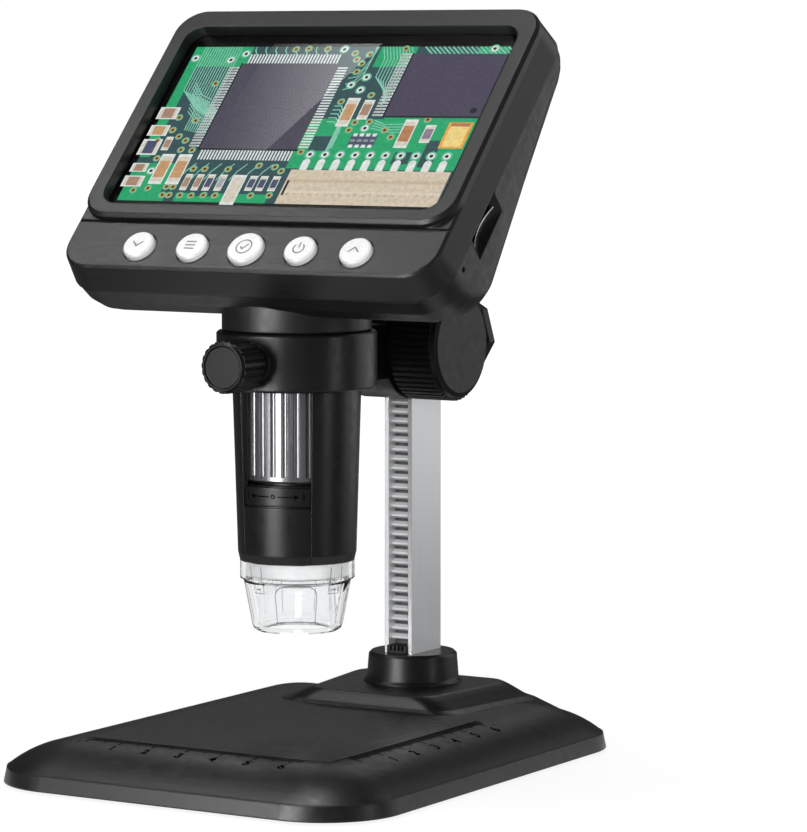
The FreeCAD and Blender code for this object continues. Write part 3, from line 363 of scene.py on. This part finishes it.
def draw_package(sheet, u0, u1, v0, v1, pins, body_colour):
    """A flat chip with rows of pins on the sides named in pins: (side, from, to, count)."""
    sheet.block(u0, u1, v0, v1, body_colour, 7)
    sheet.block(u0 - 0.5, u1 + 0.5, v0 - 0.6, v0, "shade", 6)
    sheet.block(u0 - 0.5, u0, v0 - 0.6, v1 + 0.3, "shade", 6)
    for side, start, end, count in pins:
        pitch = (end - start) / (count - 1)
        for i in range(count):
            at = start + i * pitch
            half = pitch * 0.27
            if side == "left":
                sheet.block(u0 - 3.6, u0 - 0.2, at - half, at + half, "solder", 5)
                sheet.block(u0 - 3.6, u0 - 0.9, at - half * 0.4, at + half * 0.4, "silver", 6)
            elif side == "right":
                sheet.block(u1 + 0.2, u1 + 3.2, at - half, at + half, "solder", 5)
            elif side == "top":
                sheet.block(at - half, at + half, v1 + 0.2, v1 + 3.4, "solder", 5)
            else:
                sheet.block(at - half, at + half, v0 - 3.9, v0 - 0.2, "solder", 5)


def draw_component(sheet, u, v, width, height, colour, upright=True):
    """A small two-ended component with bright ends."""
    half_u, half_v = width / 2, height / 2
    if upright:
        end = height * 0.17
        pad, middle = (width * 0.62, half_v + end * 0.6), (half_u, half_v - end)
    else:
        end = width * 0.17
        pad, middle = (half_u + end * 0.6, height * 0.62), (half_u - end, half_v)
    for (a, b), tint, layer in ((pad, "solder", 4), ((half_u, half_v), "cream", 5), (middle, colour, 6)):
        sheet.block(u - a, u + a, v - b, v + b, tint, layer)


def draw_via(sheet, u, v, radius=0.78, ring="gold"):
    sheet.disc(u, v, radius * 1.45, "pale_green", 3)
    sheet.disc(u, v, radius, ring, 4)
    sheet.disc(u, v, radius * 0.5, "hole", 5)


def draw_areas(sheet):
    left, right, low, high = PICTURE_LEFT, PICTURE_RIGHT, PICTURE_LOW, PICTURE_HIGH
    sheet.block(left, right, low, high, "mask", 0)
    for area in ((left, -45.0, -12, high), (left, -34, low, -14), (-31, -3, low, -24), (-2, 20, -15, 2),
                 (20, right, -15, 4), (9, 20, 20, high), (left, -30, 20, high), (38, 47, 23, high)):
        sheet.block(*area, "green", 1)
    for area in ((-44, -38, -8, -1), (2, 8, -9, -4), (15, 25, 3, 8), (28, 33, -13, -9), (-26, -20, -25, -22),
                 (36, 40, -14, -5), (-36, -32, -25, -22)):
        sheet.block(*area, "mask", 2)


def draw_tracks(sheet):
    """Bundles of parallel tracks."""
    high = PICTURE_HIGH
    for i in range(15):
        x = -45.2 + i * 0.82
        bend = 11.5 - i * 0.35
        end_x = x + 6.6 - i * 0.1
        sheet.line([(x, high), (x, bend), (end_x, bend - 6.6), (end_x, -2.5 - i * 0.15)], 0.3, "track", 3)
    for i in range(9):
        y = -0.5 + i * 1.1
        sheet.line([(-35.0, y), (-37.2 - i * 0.2, y + 1.6), (-40.5 - i * 0.3, y + 4.6 + i * 0.2)],
                   0.28, "track", 3)
    for i in range(10):
        x = 9.5 + i * 0.95
        sheet.line([(x, high), (x + 2.0, high - 4.2), (x + 2.0, 16.5 - i * 0.5), (17.0, 10.6 - i * 0.45)],
                   0.3, "track", 3)
    for i in range(19):
        x = 22.0 + i * 1.35
        sheet.line([(x, high), (x + 3.4, high - 3.0)], 0.45, "pale_green" if i % 2 else "track", 3)
    for i in range(7):
        x = -31.5 + i * 3.9
        sheet.line([(x + 2, -13.8), (x, -16.5), (x - 1.2, -19.5)], 0.34, "track", 3)
    for i in range(5):
        y = 1.0 + i * 1.35
        end_x = 8.6 - i * 0.3
        sheet.line([(3.4, y), (5.6, y), (end_x, y - 3.0), (end_x, -8.0 - i * 0.3)], 0.36, "track", 3)
    for i in range(4):
        y = 12.0 + i * 2.0
        sheet.line([(3.4, y), (5.0 + i * 0.4, y + 0.6), (7.6, y + 4.5), (7.6 + i * 0.2, high)],
                   0.34, "track", 3)
    for i in range(8):
        x = -28 + i * 3.1
        sheet.line([(x, high - 3.0), (x - 1.2, high - 1.2), (x - 1.2, high)], 0.34, "track", 3)
    for i in range(4):
        sheet.line([(17.5, 1.6 - i * 0.9), (21 + i, 0.2 - i * 0.9), (26.5, 0.4 - i * 0.9)], 0.32, "track", 3)


def draw_chips(sheet):
    draw_package(sheet, -31.0, -1.4, -8.6, 21.0,
                 [("top", -29.6, -2.4, 30), ("bottom", -29.8, -2.4, 30), ("left", -7.8, 19.6, 30),
                  ("right", -7.8, 19.6, 30)], "chip")
    draw_package(sheet, 19.6, PICTURE_RIGHT, 3.2, 24.6, [("left", 3.4, 24.4, 21)], "chip_violet")
    sheet.disc(44.8, 5.2, 1.0, "shade", 8)


def draw_small_parts(sheet):
    """Each component is given by its middle, its width and height, and its colour."""
    for part in ((8.4, 4.3, 3.0, 8.2, "tan"), (13.3, 5.2, 2.5, 5.6, "brown"), (-39.3, -16.0, 3.3, 8.6, "tan"),
                 (-34.0, -16.0, 3.3, 8.6, "tan"), (-29.7, -20.3, 1.7, 4.6, "brown"),
                 (-26.2, -20.3, 1.7, 4.6, "brown"), (-22.8, -20.3, 1.8, 4.6, "slate"),
                 (-19.2, -20.3, 1.8, 4.6, "grey"), (-9.9, -20.3, 1.8, 4.2, "slate"),
                 (-6.7, -20.3, 1.8, 4.2, "slate"), (-3.0, -20.3, 1.8, 4.2, "slate"),
                 (28.5, -2.8, 3.1, 8.0, "rust"), (34.8, -2.8, 2.4, 5.0, "violet"),
                 (-41.7, -7.2, 1.8, 3.9, "brown")):
        draw_component(sheet, *part)
    for part in ((-46.3, 3.4, 5.2, 3.4, "brown"), (-46.5, -2.7, 5.0, 3.0, "tan"),
                 (-46.5, -15.6, 4.2, 2.4, "brown"), (-46.3, -20.3, 5.2, 3.0, "brown"),
                 (-46.6, -8.5, 5.0, 4.4, "slate")):
        draw_component(sheet, *part, upright=False)
    draw_component(sheet, -14.3, -22.6, 3.4, 8.4, "cream")
    sheet.block(12.9, 20.6, -7.2, -3.4, "slate", 5)
    for i in range(4):
        sheet.block(13.3 + i * 1.9, 14.5 + i * 1.9, -3.9, -2.9, "solder", 6)
        sheet.block(13.3 + i * 1.9, 14.5 + i * 1.9, -7.7, -6.7, "solder", 6)
        sheet.block(13.2 + i * 1.9, 14.6 + i * 1.9, -5.7, -4.9, "silver", 6)
    sheet.block(39.6, 46.6, -7.6, 1.2, "amber", 5)
    sheet.block(40.4, 45.8, -7.0, -0.2, "yellow", 6)
    sheet.block(40.4, 45.8, -0.2, 0.9, "rust", 6)


def draw_connector(sheet):
    """The connector with its pads and contacts."""
    low, top, end = PICTURE_LOW, -15.4, 46.7
    sheet.polygon([(0, low), (end - 0.7, low), (end, low + 0.7), (end, top), (0, top)], "beige", 7)
    sheet.block(0, end, -19.6, -18.6, "beige_dark", 8)
    sheet.block(0, end, -23.2, -22.4, "beige_light", 8)
    sheet.block(0.5, 1.2, -24, -19, "shade", 9)
    for i in range(10):
        x = 3.3 + i * 4.45
        draw_via(sheet, x, -10.2, 1.05, "solder")
        sheet.block(x - 1.1, x + 1.1, top, -12.6, "solder", 6)
        sheet.disc(x, -12.8, 1.1, "solder", 6)
        for row in (-18.9, -23.6):
            sheet.disc(x - 1.0, row, 0.5, "beige_dark", 9)
            sheet.disc(x + 1.1, row, 0.5, "beige_dark", 9)


def draw_holes(sheet):
    """Plated holes, most with a golden ring."""
    for u, v in ((-36.4, 14.0), (-36.6, 0.9), (-36.5, -6.1), (-36.5, -9.3), (-39.2, -4.7), (-42.2, -2.5),
                 (-42.2, 1.9), (-42.5, -12.4), (-40.5, -22.6), (-44.7, -23.4), (-45.2, -6.3), (-33.0, -9.4),
                 (-29.6, -15.7), (-26.1, -15.7), (-19.0, -15.7), (-10.2, -14.3), (-5.2, -14.7), (-2.8, -16.0),
                 (-8.3, -24.4), (-2.8, -24.2), (-19.0, -24.6), (-22.5, -24.6), (-26.2, -24.8), (-29.6, -24.8),
                 (-35.0, -22.0), (-33.0, -22.0), (-35.0, -24.8), (-33.0, -24.8), (0.2, -9.4), (5.0, 18.3),
                 (5.3, 21.2), (4.8, 7.9), (12.8, 10.2), (11.2, -1.8), (11.9, 0.8), (16.1, 1.1), (21.8, -1.7),
                 (24.5, -4.0), (32.9, 2.0), (-16.8, 26.2), (-13.0, 26.4), (-7.1, 26.3), (16.4, 26.4),
                 (3.2, 22.6), (1.8, 24.8), (6.4, 24.4)):
        draw_via(sheet, u, v)
    for u, v in ((8.8, 16.4), (8.8, 12.0), (-31.6, 24.6), (-35.4, 22.4), (42.6, 26.4), (-46.8, 23.0),
                 (15.7, -1.1), (-42.3, -16.7), (5.3, 13.7), (-2.0, 26.2)):
        draw_via(sheet, u, v, 1.0, "solder")


PICTURE_COLOURS = {
    "mask": (0.035, 0.085, 0.095), "green": (0.02, 0.40, 0.16), "pale_green": (0.16, 0.55, 0.36),
    "track": (0.25, 0.62, 0.47), "solder": (0.80, 0.84, 0.82), "silver": (0.30, 0.32, 0.32),
    "chip": (0.075, 0.07, 0.10), "chip_violet": (0.072, 0.062, 0.105), "shade": (0.012, 0.014, 0.02),
    "cream": (0.72, 0.66, 0.56), "tan": (0.60, 0.34, 0.16), "brown": (0.42, 0.26, 0.18),
    "rust": (0.50, 0.23, 0.10), "slate": (0.07, 0.09, 0.16), "grey": (0.4, 0.42, 0.45),
    "violet": (0.28, 0.22, 0.30), "gold": (0.55, 0.32, 0.08), "hole": (0.01, 0.01, 0.01),
    "amber": (0.85, 0.42, 0.06), "yellow": (0.98, 0.70, 0.25), "beige": (0.70, 0.60, 0.46),
    "beige_dark": (0.62, 0.50, 0.36), "beige_light": (0.76, 0.67, 0.54)}


def on_screen(p):
    return HEAD @ (p + Vector((0, 0, PICTURE_N * MM)))


def draw_picture():
    sheet = Sheet("screen_picture")
    for draw in (draw_areas, draw_tracks, draw_chips, draw_small_parts, draw_connector, draw_holes):
        draw(sheet)
    materials = {key: lit("picture_" + key, value, LIT_POWER) for key, value in PICTURE_COLOURS.items()}
    sheet.build("head", on_screen, materials)


draw_picture()


# Marks on the buttons

def draw_buttons():
    ink = plastic("button_ink", (0.17, 0.17, 0.18), 0.4, 2600, 0.02, 0)
    pitch = 16.05
    for step, name in enumerate(("button_down", "button_menu", "button_ok", "button_power", "button_up"), -2):
        sheet = Sheet(name.replace("button", "sign"))
        if name == "button_down":
            sheet.line([(-1.5, 0.7), (0, -0.8), (1.5, 0.7)], 0.42, "ink")
        elif name == "button_up":
            sheet.line([(-1.5, -0.7), (0, 0.8), (1.5, -0.7)], 0.42, "ink")
        elif name == "button_menu":
            for v in (-1.1, 0, 1.1):
                sheet.block(-1.5, 1.5, v - 0.2, v + 0.2, "ink")
        elif name == "button_ok":
            sheet.disc(0, 0, 2.3, "ink", 0, 32, 1.95)
            sheet.line([(-1.0, 0.0), (-0.25, -0.8), (1.1, 0.8)], 0.4, "ink")
        else:
            turns = [math.radians(a) for a in range(38, 323, 12)]
            sheet.line([(1.5 * math.sin(a), 1.5 * math.cos(a)) for a in turns], 0.4, "ink")
            sheet.block(-0.2, 0.2, 0.2, 1.9, "ink")
        lift = Vector((step * pitch, BUTTON_ROW_V, BUTTON_TOP + 0.012)) * MM
        sheet.build(name, lambda p, lift=lift: HEAD @ (p + lift), {"ink": ink})


draw_buttons()


# Ruler marks and numbers on the stage

RAY_TOP = 0.03
STAGE_PRINT_LIFT = 0.00006


def surface_of(name):
    """Finds the height of a carried-over piece under a point."""
    piece = nodes[name]
    tree = BVHTree.FromPolygons([piece.matrix_world @ v.co for v in piece.data.vertices],
                                [p.vertices for p in piece.data.polygons])

    def height(x, y):
        return tree.ray_cast(Vector((x, y, RAY_TOP)), Vector((0, 0, -1)))[0].z
    return height


stage_height = surface_of("base_shell")


def on_stage(p):
    return Vector((p.x, p.y, stage_height(p.x, p.y) + STAGE_PRINT_LIFT + p.z))


def number_piece(text, x, y, turn, size, ink):
    """A plain printed number that lies on the stage."""
    curve = bpy.data.curves.new("number_curve", "FONT")
    curve.body = text
    curve.size = size * MM
    curve.offset = 0.09 * MM
    curve.align_x = "CENTER"
    curve.align_y = "CENTER"
    holder = bpy.data.objects.new("number_holder", curve)
    bpy.context.collection.objects.link(holder)
    bpy.context.view_layer.update()
    mesh = bpy.data.meshes.new_from_object(holder)
    bpy.data.objects.remove(holder)
    rotation = Matrix.Rotation(turn, 4, "Z")
    for vertex in mesh.vertices:
        flat = rotation @ vertex.co + Vector((x * MM, y * MM, 0))
        vertex.co = on_stage(flat)
    mesh.materials.clear()
    mesh.materials.append(ink)
    return mesh


def draw_ruler():
    """Two scales that meet at the stage's front corner. A mark is cut in steps, to follow the dome."""
    ink = plastic("ruler_ink", (0.0015, 0.0015, 0.0016), 0.9, 2600, 0.02, 0, 0.0)
    sheet = Sheet("ruler_marks")
    front_y, left_x, right_x, back_y = -50.5, -35.0, 36.0, 20.5
    zero_x, zero_y = -33.0, -43.0
    line_half, mark_half, end_mark, steps = 0.2, 0.21, 5.5, 8
    sheet.block(left_x, right_x + line_half, front_y - line_half, front_y + line_half, "ink")
    sheet.block(right_x - line_half, right_x + line_half, front_y, back_y, "ink")
    for i in range(63):
        long = 4.8 if i % 10 == 0 else 3.8 if i % 5 == 0 else 2.9
        x, y = zero_x + i, zero_y + i
        for k in range(steps):
            near, far = long * k / steps, long * (k + 1) / steps
            sheet.block(x - mark_half, x + mark_half, front_y - far, front_y - near, "ink")
        for k in range(steps):
            near, far = long * k / steps, long * (k + 1) / steps
            sheet.block(right_x + near, right_x + far, y - mark_half, y + mark_half, "ink")
    sheet.block(left_x - line_half, left_x + line_half, front_y - end_mark, front_y, "ink")
    sheet.block(right_x, right_x + end_mark, back_y - line_half, back_y + line_half, "ink")
    sheet.build("base", on_stage, {"ink": ink})
    size, front_gap, side_gap = 4.0, 7.4, 7.6
    for i in range(6):
        along = 10 * (i + 1)
        for kind, x, y, turn in (("front", zero_x + along, front_y - front_gap, 0.0),
                                 ("side", right_x + side_gap, zero_y + along, math.pi / 2)):
            mesh = number_piece(str(i + 1), x, y, turn, size, ink)
            piece = bpy.data.objects.new("number_" + kind + "_" + str(i + 1), mesh)
            bpy.context.collection.objects.link(piece)
            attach(piece, "base")


draw_ruler()


# Direction marks on the band under the wheel

def barrel_radius(z):
    """Radius of the barrel's sunk band in millimetres at a height in millimetres."""
    low_z, high_z, low_r, high_r, sunk = 56.4, 96.1, 15.1, 16.3, 0.3
    return low_r + (high_r - low_r) * (z - low_z) / (high_z - low_z) - sunk


def on_band(p):
    band_z, lift = 71.6, 0.02
    z = band_z + p.y / MM
    r = (barrel_radius(z) + lift) * MM
    angle = p.x / r
    return Vector((r * math.sin(angle), BARREL_Y - r * math.cos(angle), z * MM))


def draw_band():
    ink = plastic("band_ink", (0.0015, 0.0015, 0.0016), 0.9, 2600, 0.02, 0, 0.0)
    sheet = Sheet("band_marks")
    middle, step = 2.4, 0.75
    for start in (-5.6, 1.2):
        for i in range(6):
            x = middle + start + i * step
            sheet.block(x, x + step, -0.14, 0.14, "ink")
    for side in (-1, 1):
        tip = middle + side * 6.8
        sheet.polygon([(tip, 0), (tip - side * 1.3, 0.65), (tip - side * 1.3, -0.65)][::side], "ink")
        sheet.block(middle + side * 8.0 - 0.15, middle + side * 8.0 + 0.15, -0.9, 0.9, "ink")
    sheet.disc(middle, 0, 0.62, "ink", 0, 20, 0.34)
    sheet.build("head", on_band, {"ink": ink})


draw_band()


# Painted dark outlines of the grips and clips on the clear nose

CAP_FACING = math.radians(31)
cap_low, cap_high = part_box("clear_cap")
CAP_HEIGHT = cap_high.z - cap_low.z
CAP_FLANGE = (cap_high.x - cap_low.x) / 2


def cap_radius(z):
    """Outer radius of the clear nose in metres at a height in metres above its rim."""
    flange, rim = CAP_HEIGHT - 4.6 * MM, 1.6 * MM
    low_r, high_r = 11.55, 13.7
    if z > flange:
        return CAP_FLANGE
    share = max(0.0, z - rim) / (flange - rim)
    return (low_r + (high_r - low_r) * share) * MM


def on_cap(turn):
    def place(p):
        r = cap_radius(p.y) + PRINT_LIFT
        angle = CAP_FACING + turn + p.x / CAP_FLANGE
        return Vector((r * math.sin(angle), BARREL_Y - r * math.cos(angle), cap_low.z + p.y + p.z))
    return place


def arch(half, low, high, bend):
    """Route of an upright arch with round shoulders."""
    turns = [math.radians(a) for a in range(15, 90, 15)]
    left = [(-half + bend - bend * math.cos(a), high - bend + bend * math.sin(a)) for a in turns]
    right = [(half - bend + bend * math.sin(a), high - bend + bend * math.cos(a)) for a in turns]
    return [(-half, low), (-half, high - bend), *left, (-half + bend, high), (half - bend, high), *right,
            (half, high - bend), (half, low)]


def draw_cap_lines():
    """Arched grips and clips, drawn as painted dark lines for the shaded edges that the clear walls show."""
    materials = {"line": clear_line("cap_line", (0.02, 0.021, 0.022))}
    for i in range(4):
        sheet = Sheet("cap_grip_" + str(i + 1))
        sheet.line(arch(6.0, 3.0, 12.4, 2.6), 0.32, "line")
        sheet.build("clear_cap", on_cap(i * math.pi / 2), materials)
    half, low, high = 1.9, 10.4, 17.3
    for i in range(4):
        sheet = Sheet("cap_clip_" + str(i + 1))
        for x in (-half, half):
            sheet.line([(x, low), (x, high)], 0.26, "line")
        sheet.line([(-half, low), (half, low)], 0.26, "line")
        sheet.line([(-half, 14.0), (half, 14.0)], 0.22, "line")
        sheet.line([(-0.9, 11.4), (0.9, 11.4)], 0.5, "line")
        sheet.build("clear_cap", on_cap(math.radians(45) + i * math.pi / 2), materials)


draw_cap_lines()


# Painted highlight along the card slot's finger scoop on the head's right side

def draw_scoop_rim_highlight():
    """A bright strip painted as the highlight on the rim of the finger scoop beside the card slot."""
    # Painted highlight: a pale metal strip where the scoop's rim catches the light.
    rim_highlight = metal("scoop_rim_painted_highlight", (0.85, 0.85, 0.86), 0.25, (1, 0.1, 1), metallic=0.5)
    sheet = Sheet("scoop_rim_painted_highlight")
    start, step = -6.6, 1.65
    for i in range(8):
        sheet.block(start + i * step, start + (i + 1) * step, -0.2, 0.2, "rim_highlight")
    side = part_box("front_housing")[1].x
    middle_v, middle_n, scoop_radius, scoop_depth = -24.3 * MM, -13.6 * MM, 17.0 * MM, 2.4 * MM

    def place(p):
        out = side - scoop_depth + scoop_radius - math.sqrt(scoop_radius ** 2 - p.x ** 2) + PRINT_LIFT
        return HEAD @ Vector((out, middle_v + p.x, middle_n + p.y))
    sheet.build("head", place, {"rim_highlight": rim_highlight})


draw_scoop_rim_highlight()


# Floor, light and camera

CAMERA_AT = Vector((0.5410, -0.85165, 0.1818))
CAMERA_TURN = (math.radians(90 - 5.197), 0, math.radians(31.14))


def link(data, name):
    made = bpy.data.objects.new(name, data)
    bpy.context.collection.objects.link(made)
    return made


def seen_rays(tree):
    """One for camera and transmission rays, so what is seen straight or through the clear cap is white."""
    path = add(tree, "LightPath")
    return add(tree, "Math", {0: path.outputs["Is Camera Ray"], 1: path.outputs["Is Transmission Ray"]},
               operation="MAXIMUM").outputs[0]


def make_floor():
    """A pale floor, seen as near white. It glows in reflections only close to the object."""
    size = 8.0
    mesh = bpy.data.meshes.new("floor")
    corners = [(-size, -size, 0), (size, -size, 0), (size, size, 0), (-size, size, 0)]
    mesh.from_pydata(corners, [], [(0, 1, 2, 3)])
    floor = link(mesh, "floor")
    material, tree, shader = new_material("floor_white")
    shader.inputs["Base Color"].default_value = (0.20, 0.20, 0.203, 1)
    shader.inputs["Roughness"].default_value = 0.9
    shader.inputs["Specular IOR Level"].default_value = 0.0
    far = add(tree, "VectorMath", {0: place_of(tree)}, operation="LENGTH").outputs["Value"]
    glow = remap(tree, far, 0.16, 0.75, 0.87, 1.0, "SMOOTHSTEP")
    seen = add(tree, "Math", {0: glow, 1: seen_rays(tree)}, operation="MULTIPLY")
    near = remap(tree, far, 0.10, 0.15, 0.7, 0.0, "SMOOTHSTEP")
    path = add(tree, "LightPath")
    reflected = add(tree, "Math", {0: near, 1: path.outputs["Is Glossy Ray"]}, operation="MULTIPLY")
    strength = add(tree, "Math", {0: seen.outputs[0], 1: reflected.outputs[0]}, operation="MAXIMUM")
    shader.inputs["Emission Color"].default_value = (1, 1, 1, 1)
    tree.links.new(strength.outputs[0], shader.inputs["Emission Strength"])
    mesh.materials.append(material)


def make_world():
    world = bpy.data.worlds.new("studio")
    bpy.context.scene.world = world
    world.use_nodes = True
    tree = world.node_tree
    tree.nodes.clear()
    out = tree.nodes.new("ShaderNodeOutputWorld")
    path = add(tree, "LightPath")
    dim = add(tree, "Background", Color=(1, 1, 1, 1), Strength=0.06)
    fill = add(tree, "Background", Color=(1, 1, 1, 1), Strength=0.28)
    white = add(tree, "Background", Color=(1, 1, 1, 1), Strength=1.0)
    room = add(tree, "MixShader", {0: path.outputs["Is Glossy Ray"], 1: fill.outputs[0], 2: dim.outputs[0]})
    mix = add(tree, "MixShader", {0: seen_rays(tree), 1: room.outputs[0], 2: white.outputs[0]})
    tree.links.new(mix.outputs[0], out.inputs["Surface"])


LIGHT_TARGET = Vector((0, 0, 0.1))


def softbox(name, azimuth, elevation, distance, size, radiance):
    """A square area light. Azimuth is in degrees from the front, -Y, towards +X."""
    data = bpy.data.lights.new(name, "AREA")
    data.shape = "RECTANGLE"
    data.size = size
    data.size_y = size
    data.energy = radiance * math.pi * data.size * data.size_y
    lamp_object = link(data, name)
    a, e = math.radians(azimuth), math.radians(elevation)
    away = Vector((math.sin(a) * math.cos(e), -math.cos(a) * math.cos(e), math.sin(e)))
    lamp_object.location = LIGHT_TARGET + away * distance
    lamp_object.rotation_euler = (-away).to_track_quat("-Z", "Y").to_euler()
    lamp_object.visible_camera = False
    return lamp_object


def glow_card(name, corners, axis, low, high):
    """A card seen only in reflections. Its glow runs from low to high along an axis of the room."""
    mesh = bpy.data.meshes.new(name)
    mesh.from_pydata([tuple(c) for c in corners], [], [tuple(range(len(corners)))])
    card = link(mesh, name)
    material, tree, shader = new_material(name + "_glow")
    shader.inputs["Base Color"].default_value = (0, 0, 0, 1)
    split = add(tree, "SeparateXYZ", {"Vector": place_of(tree)})
    across = ["X", "Y", "Z"].index(axis)
    start, end = min(c[across] for c in corners), max(c[across] for c in corners)
    fade = remap(tree, split.outputs[axis], start, end, low, high, "SMOOTHSTEP")
    shader.inputs["Emission Color"].default_value = (1, 1, 1, 1)
    tree.links.new(fade, shader.inputs["Emission Strength"])
    mesh.materials.append(material)
    card.visible_camera = False
    card.visible_diffuse = False
    card.visible_shadow = False
    card.visible_transmission = False


def mirrored(u, v, distance):
    """Where the camera's ray that meets the screen's cover at (u, v) ends after its reflection."""
    point = HEAD @ (Vector((u, v, COVER_N)) * MM)
    normal = (HEAD_TURN @ Vector((0, 0, 1))).normalized()
    ray = (point - CAMERA_AT).normalized()
    return point + (ray - 2 * ray.dot(normal) * normal) * distance


def upright(azimuth, distance, width, low, high):
    """Corners of an upright card that faces the object."""
    a = math.radians(azimuth)
    middle = Vector((math.sin(a), -math.cos(a), 0)) * distance
    side = Vector((math.cos(a), math.sin(a), 0)) * width / 2
    return [middle - side + Vector((0, 0, low)), middle + side + Vector((0, 0, low)),
            middle + side + Vector((0, 0, high)), middle - side + Vector((0, 0, high))]


def make_cards():
    """The slanted edge of the first card shows as the glare over the picture."""
    glare = [mirrored(u, v, 0.9) for u, v in ((9.5, 29.0), (-10.5, -10.0), (-30.0, -10.0), (-24.0, 29.0))]
    glow_card("glare_card", glare, "X", 0.0, 3.4)
    panel = [mirrored(u, v, 0.35) for u, v in ((60, -36), (60, -92), (-66, -92), (-66, -36))]
    glow_card("panel_card", panel, "X", 9.0, 6.0)
    glow_card("front_card", upright(-12, 0.52, 0.24, 0.003, 0.36), "Z", 12.0, 9.0)
    glow_card("right_card", upright(88, 0.50, 0.07, 0.004, 0.40), "Z", 3.0, 2.0)
    glow_card("back_card", upright(148, 0.50, 0.42, 0.002, 0.55), "Z", 0.9, 0.8)


def make_camera():
    data = bpy.data.cameras.new("camera")
    data.sensor_width = 36.0
    data.lens = 171.43
    data.clip_start = 0.05
    data.clip_end = 50.0
    camera = link(data, "camera")
    camera.location = CAMERA_AT
    camera.rotation_euler = CAMERA_TURN
    bpy.context.scene.camera = camera


make_floor()
make_world()
softbox("key", -75, 80, 1.1, 0.42, 7.0)
teeth_fill = softbox("teeth_fill", 30, 10, 0.9, 0.3, 20.0)
teeth_fill.visible_glossy = False
softbox("back_left", -150, 35, 1.2, 0.5, 1.2)
make_cards()
make_camera()
bpy.context.scene.view_settings.view_transform = "Standard"
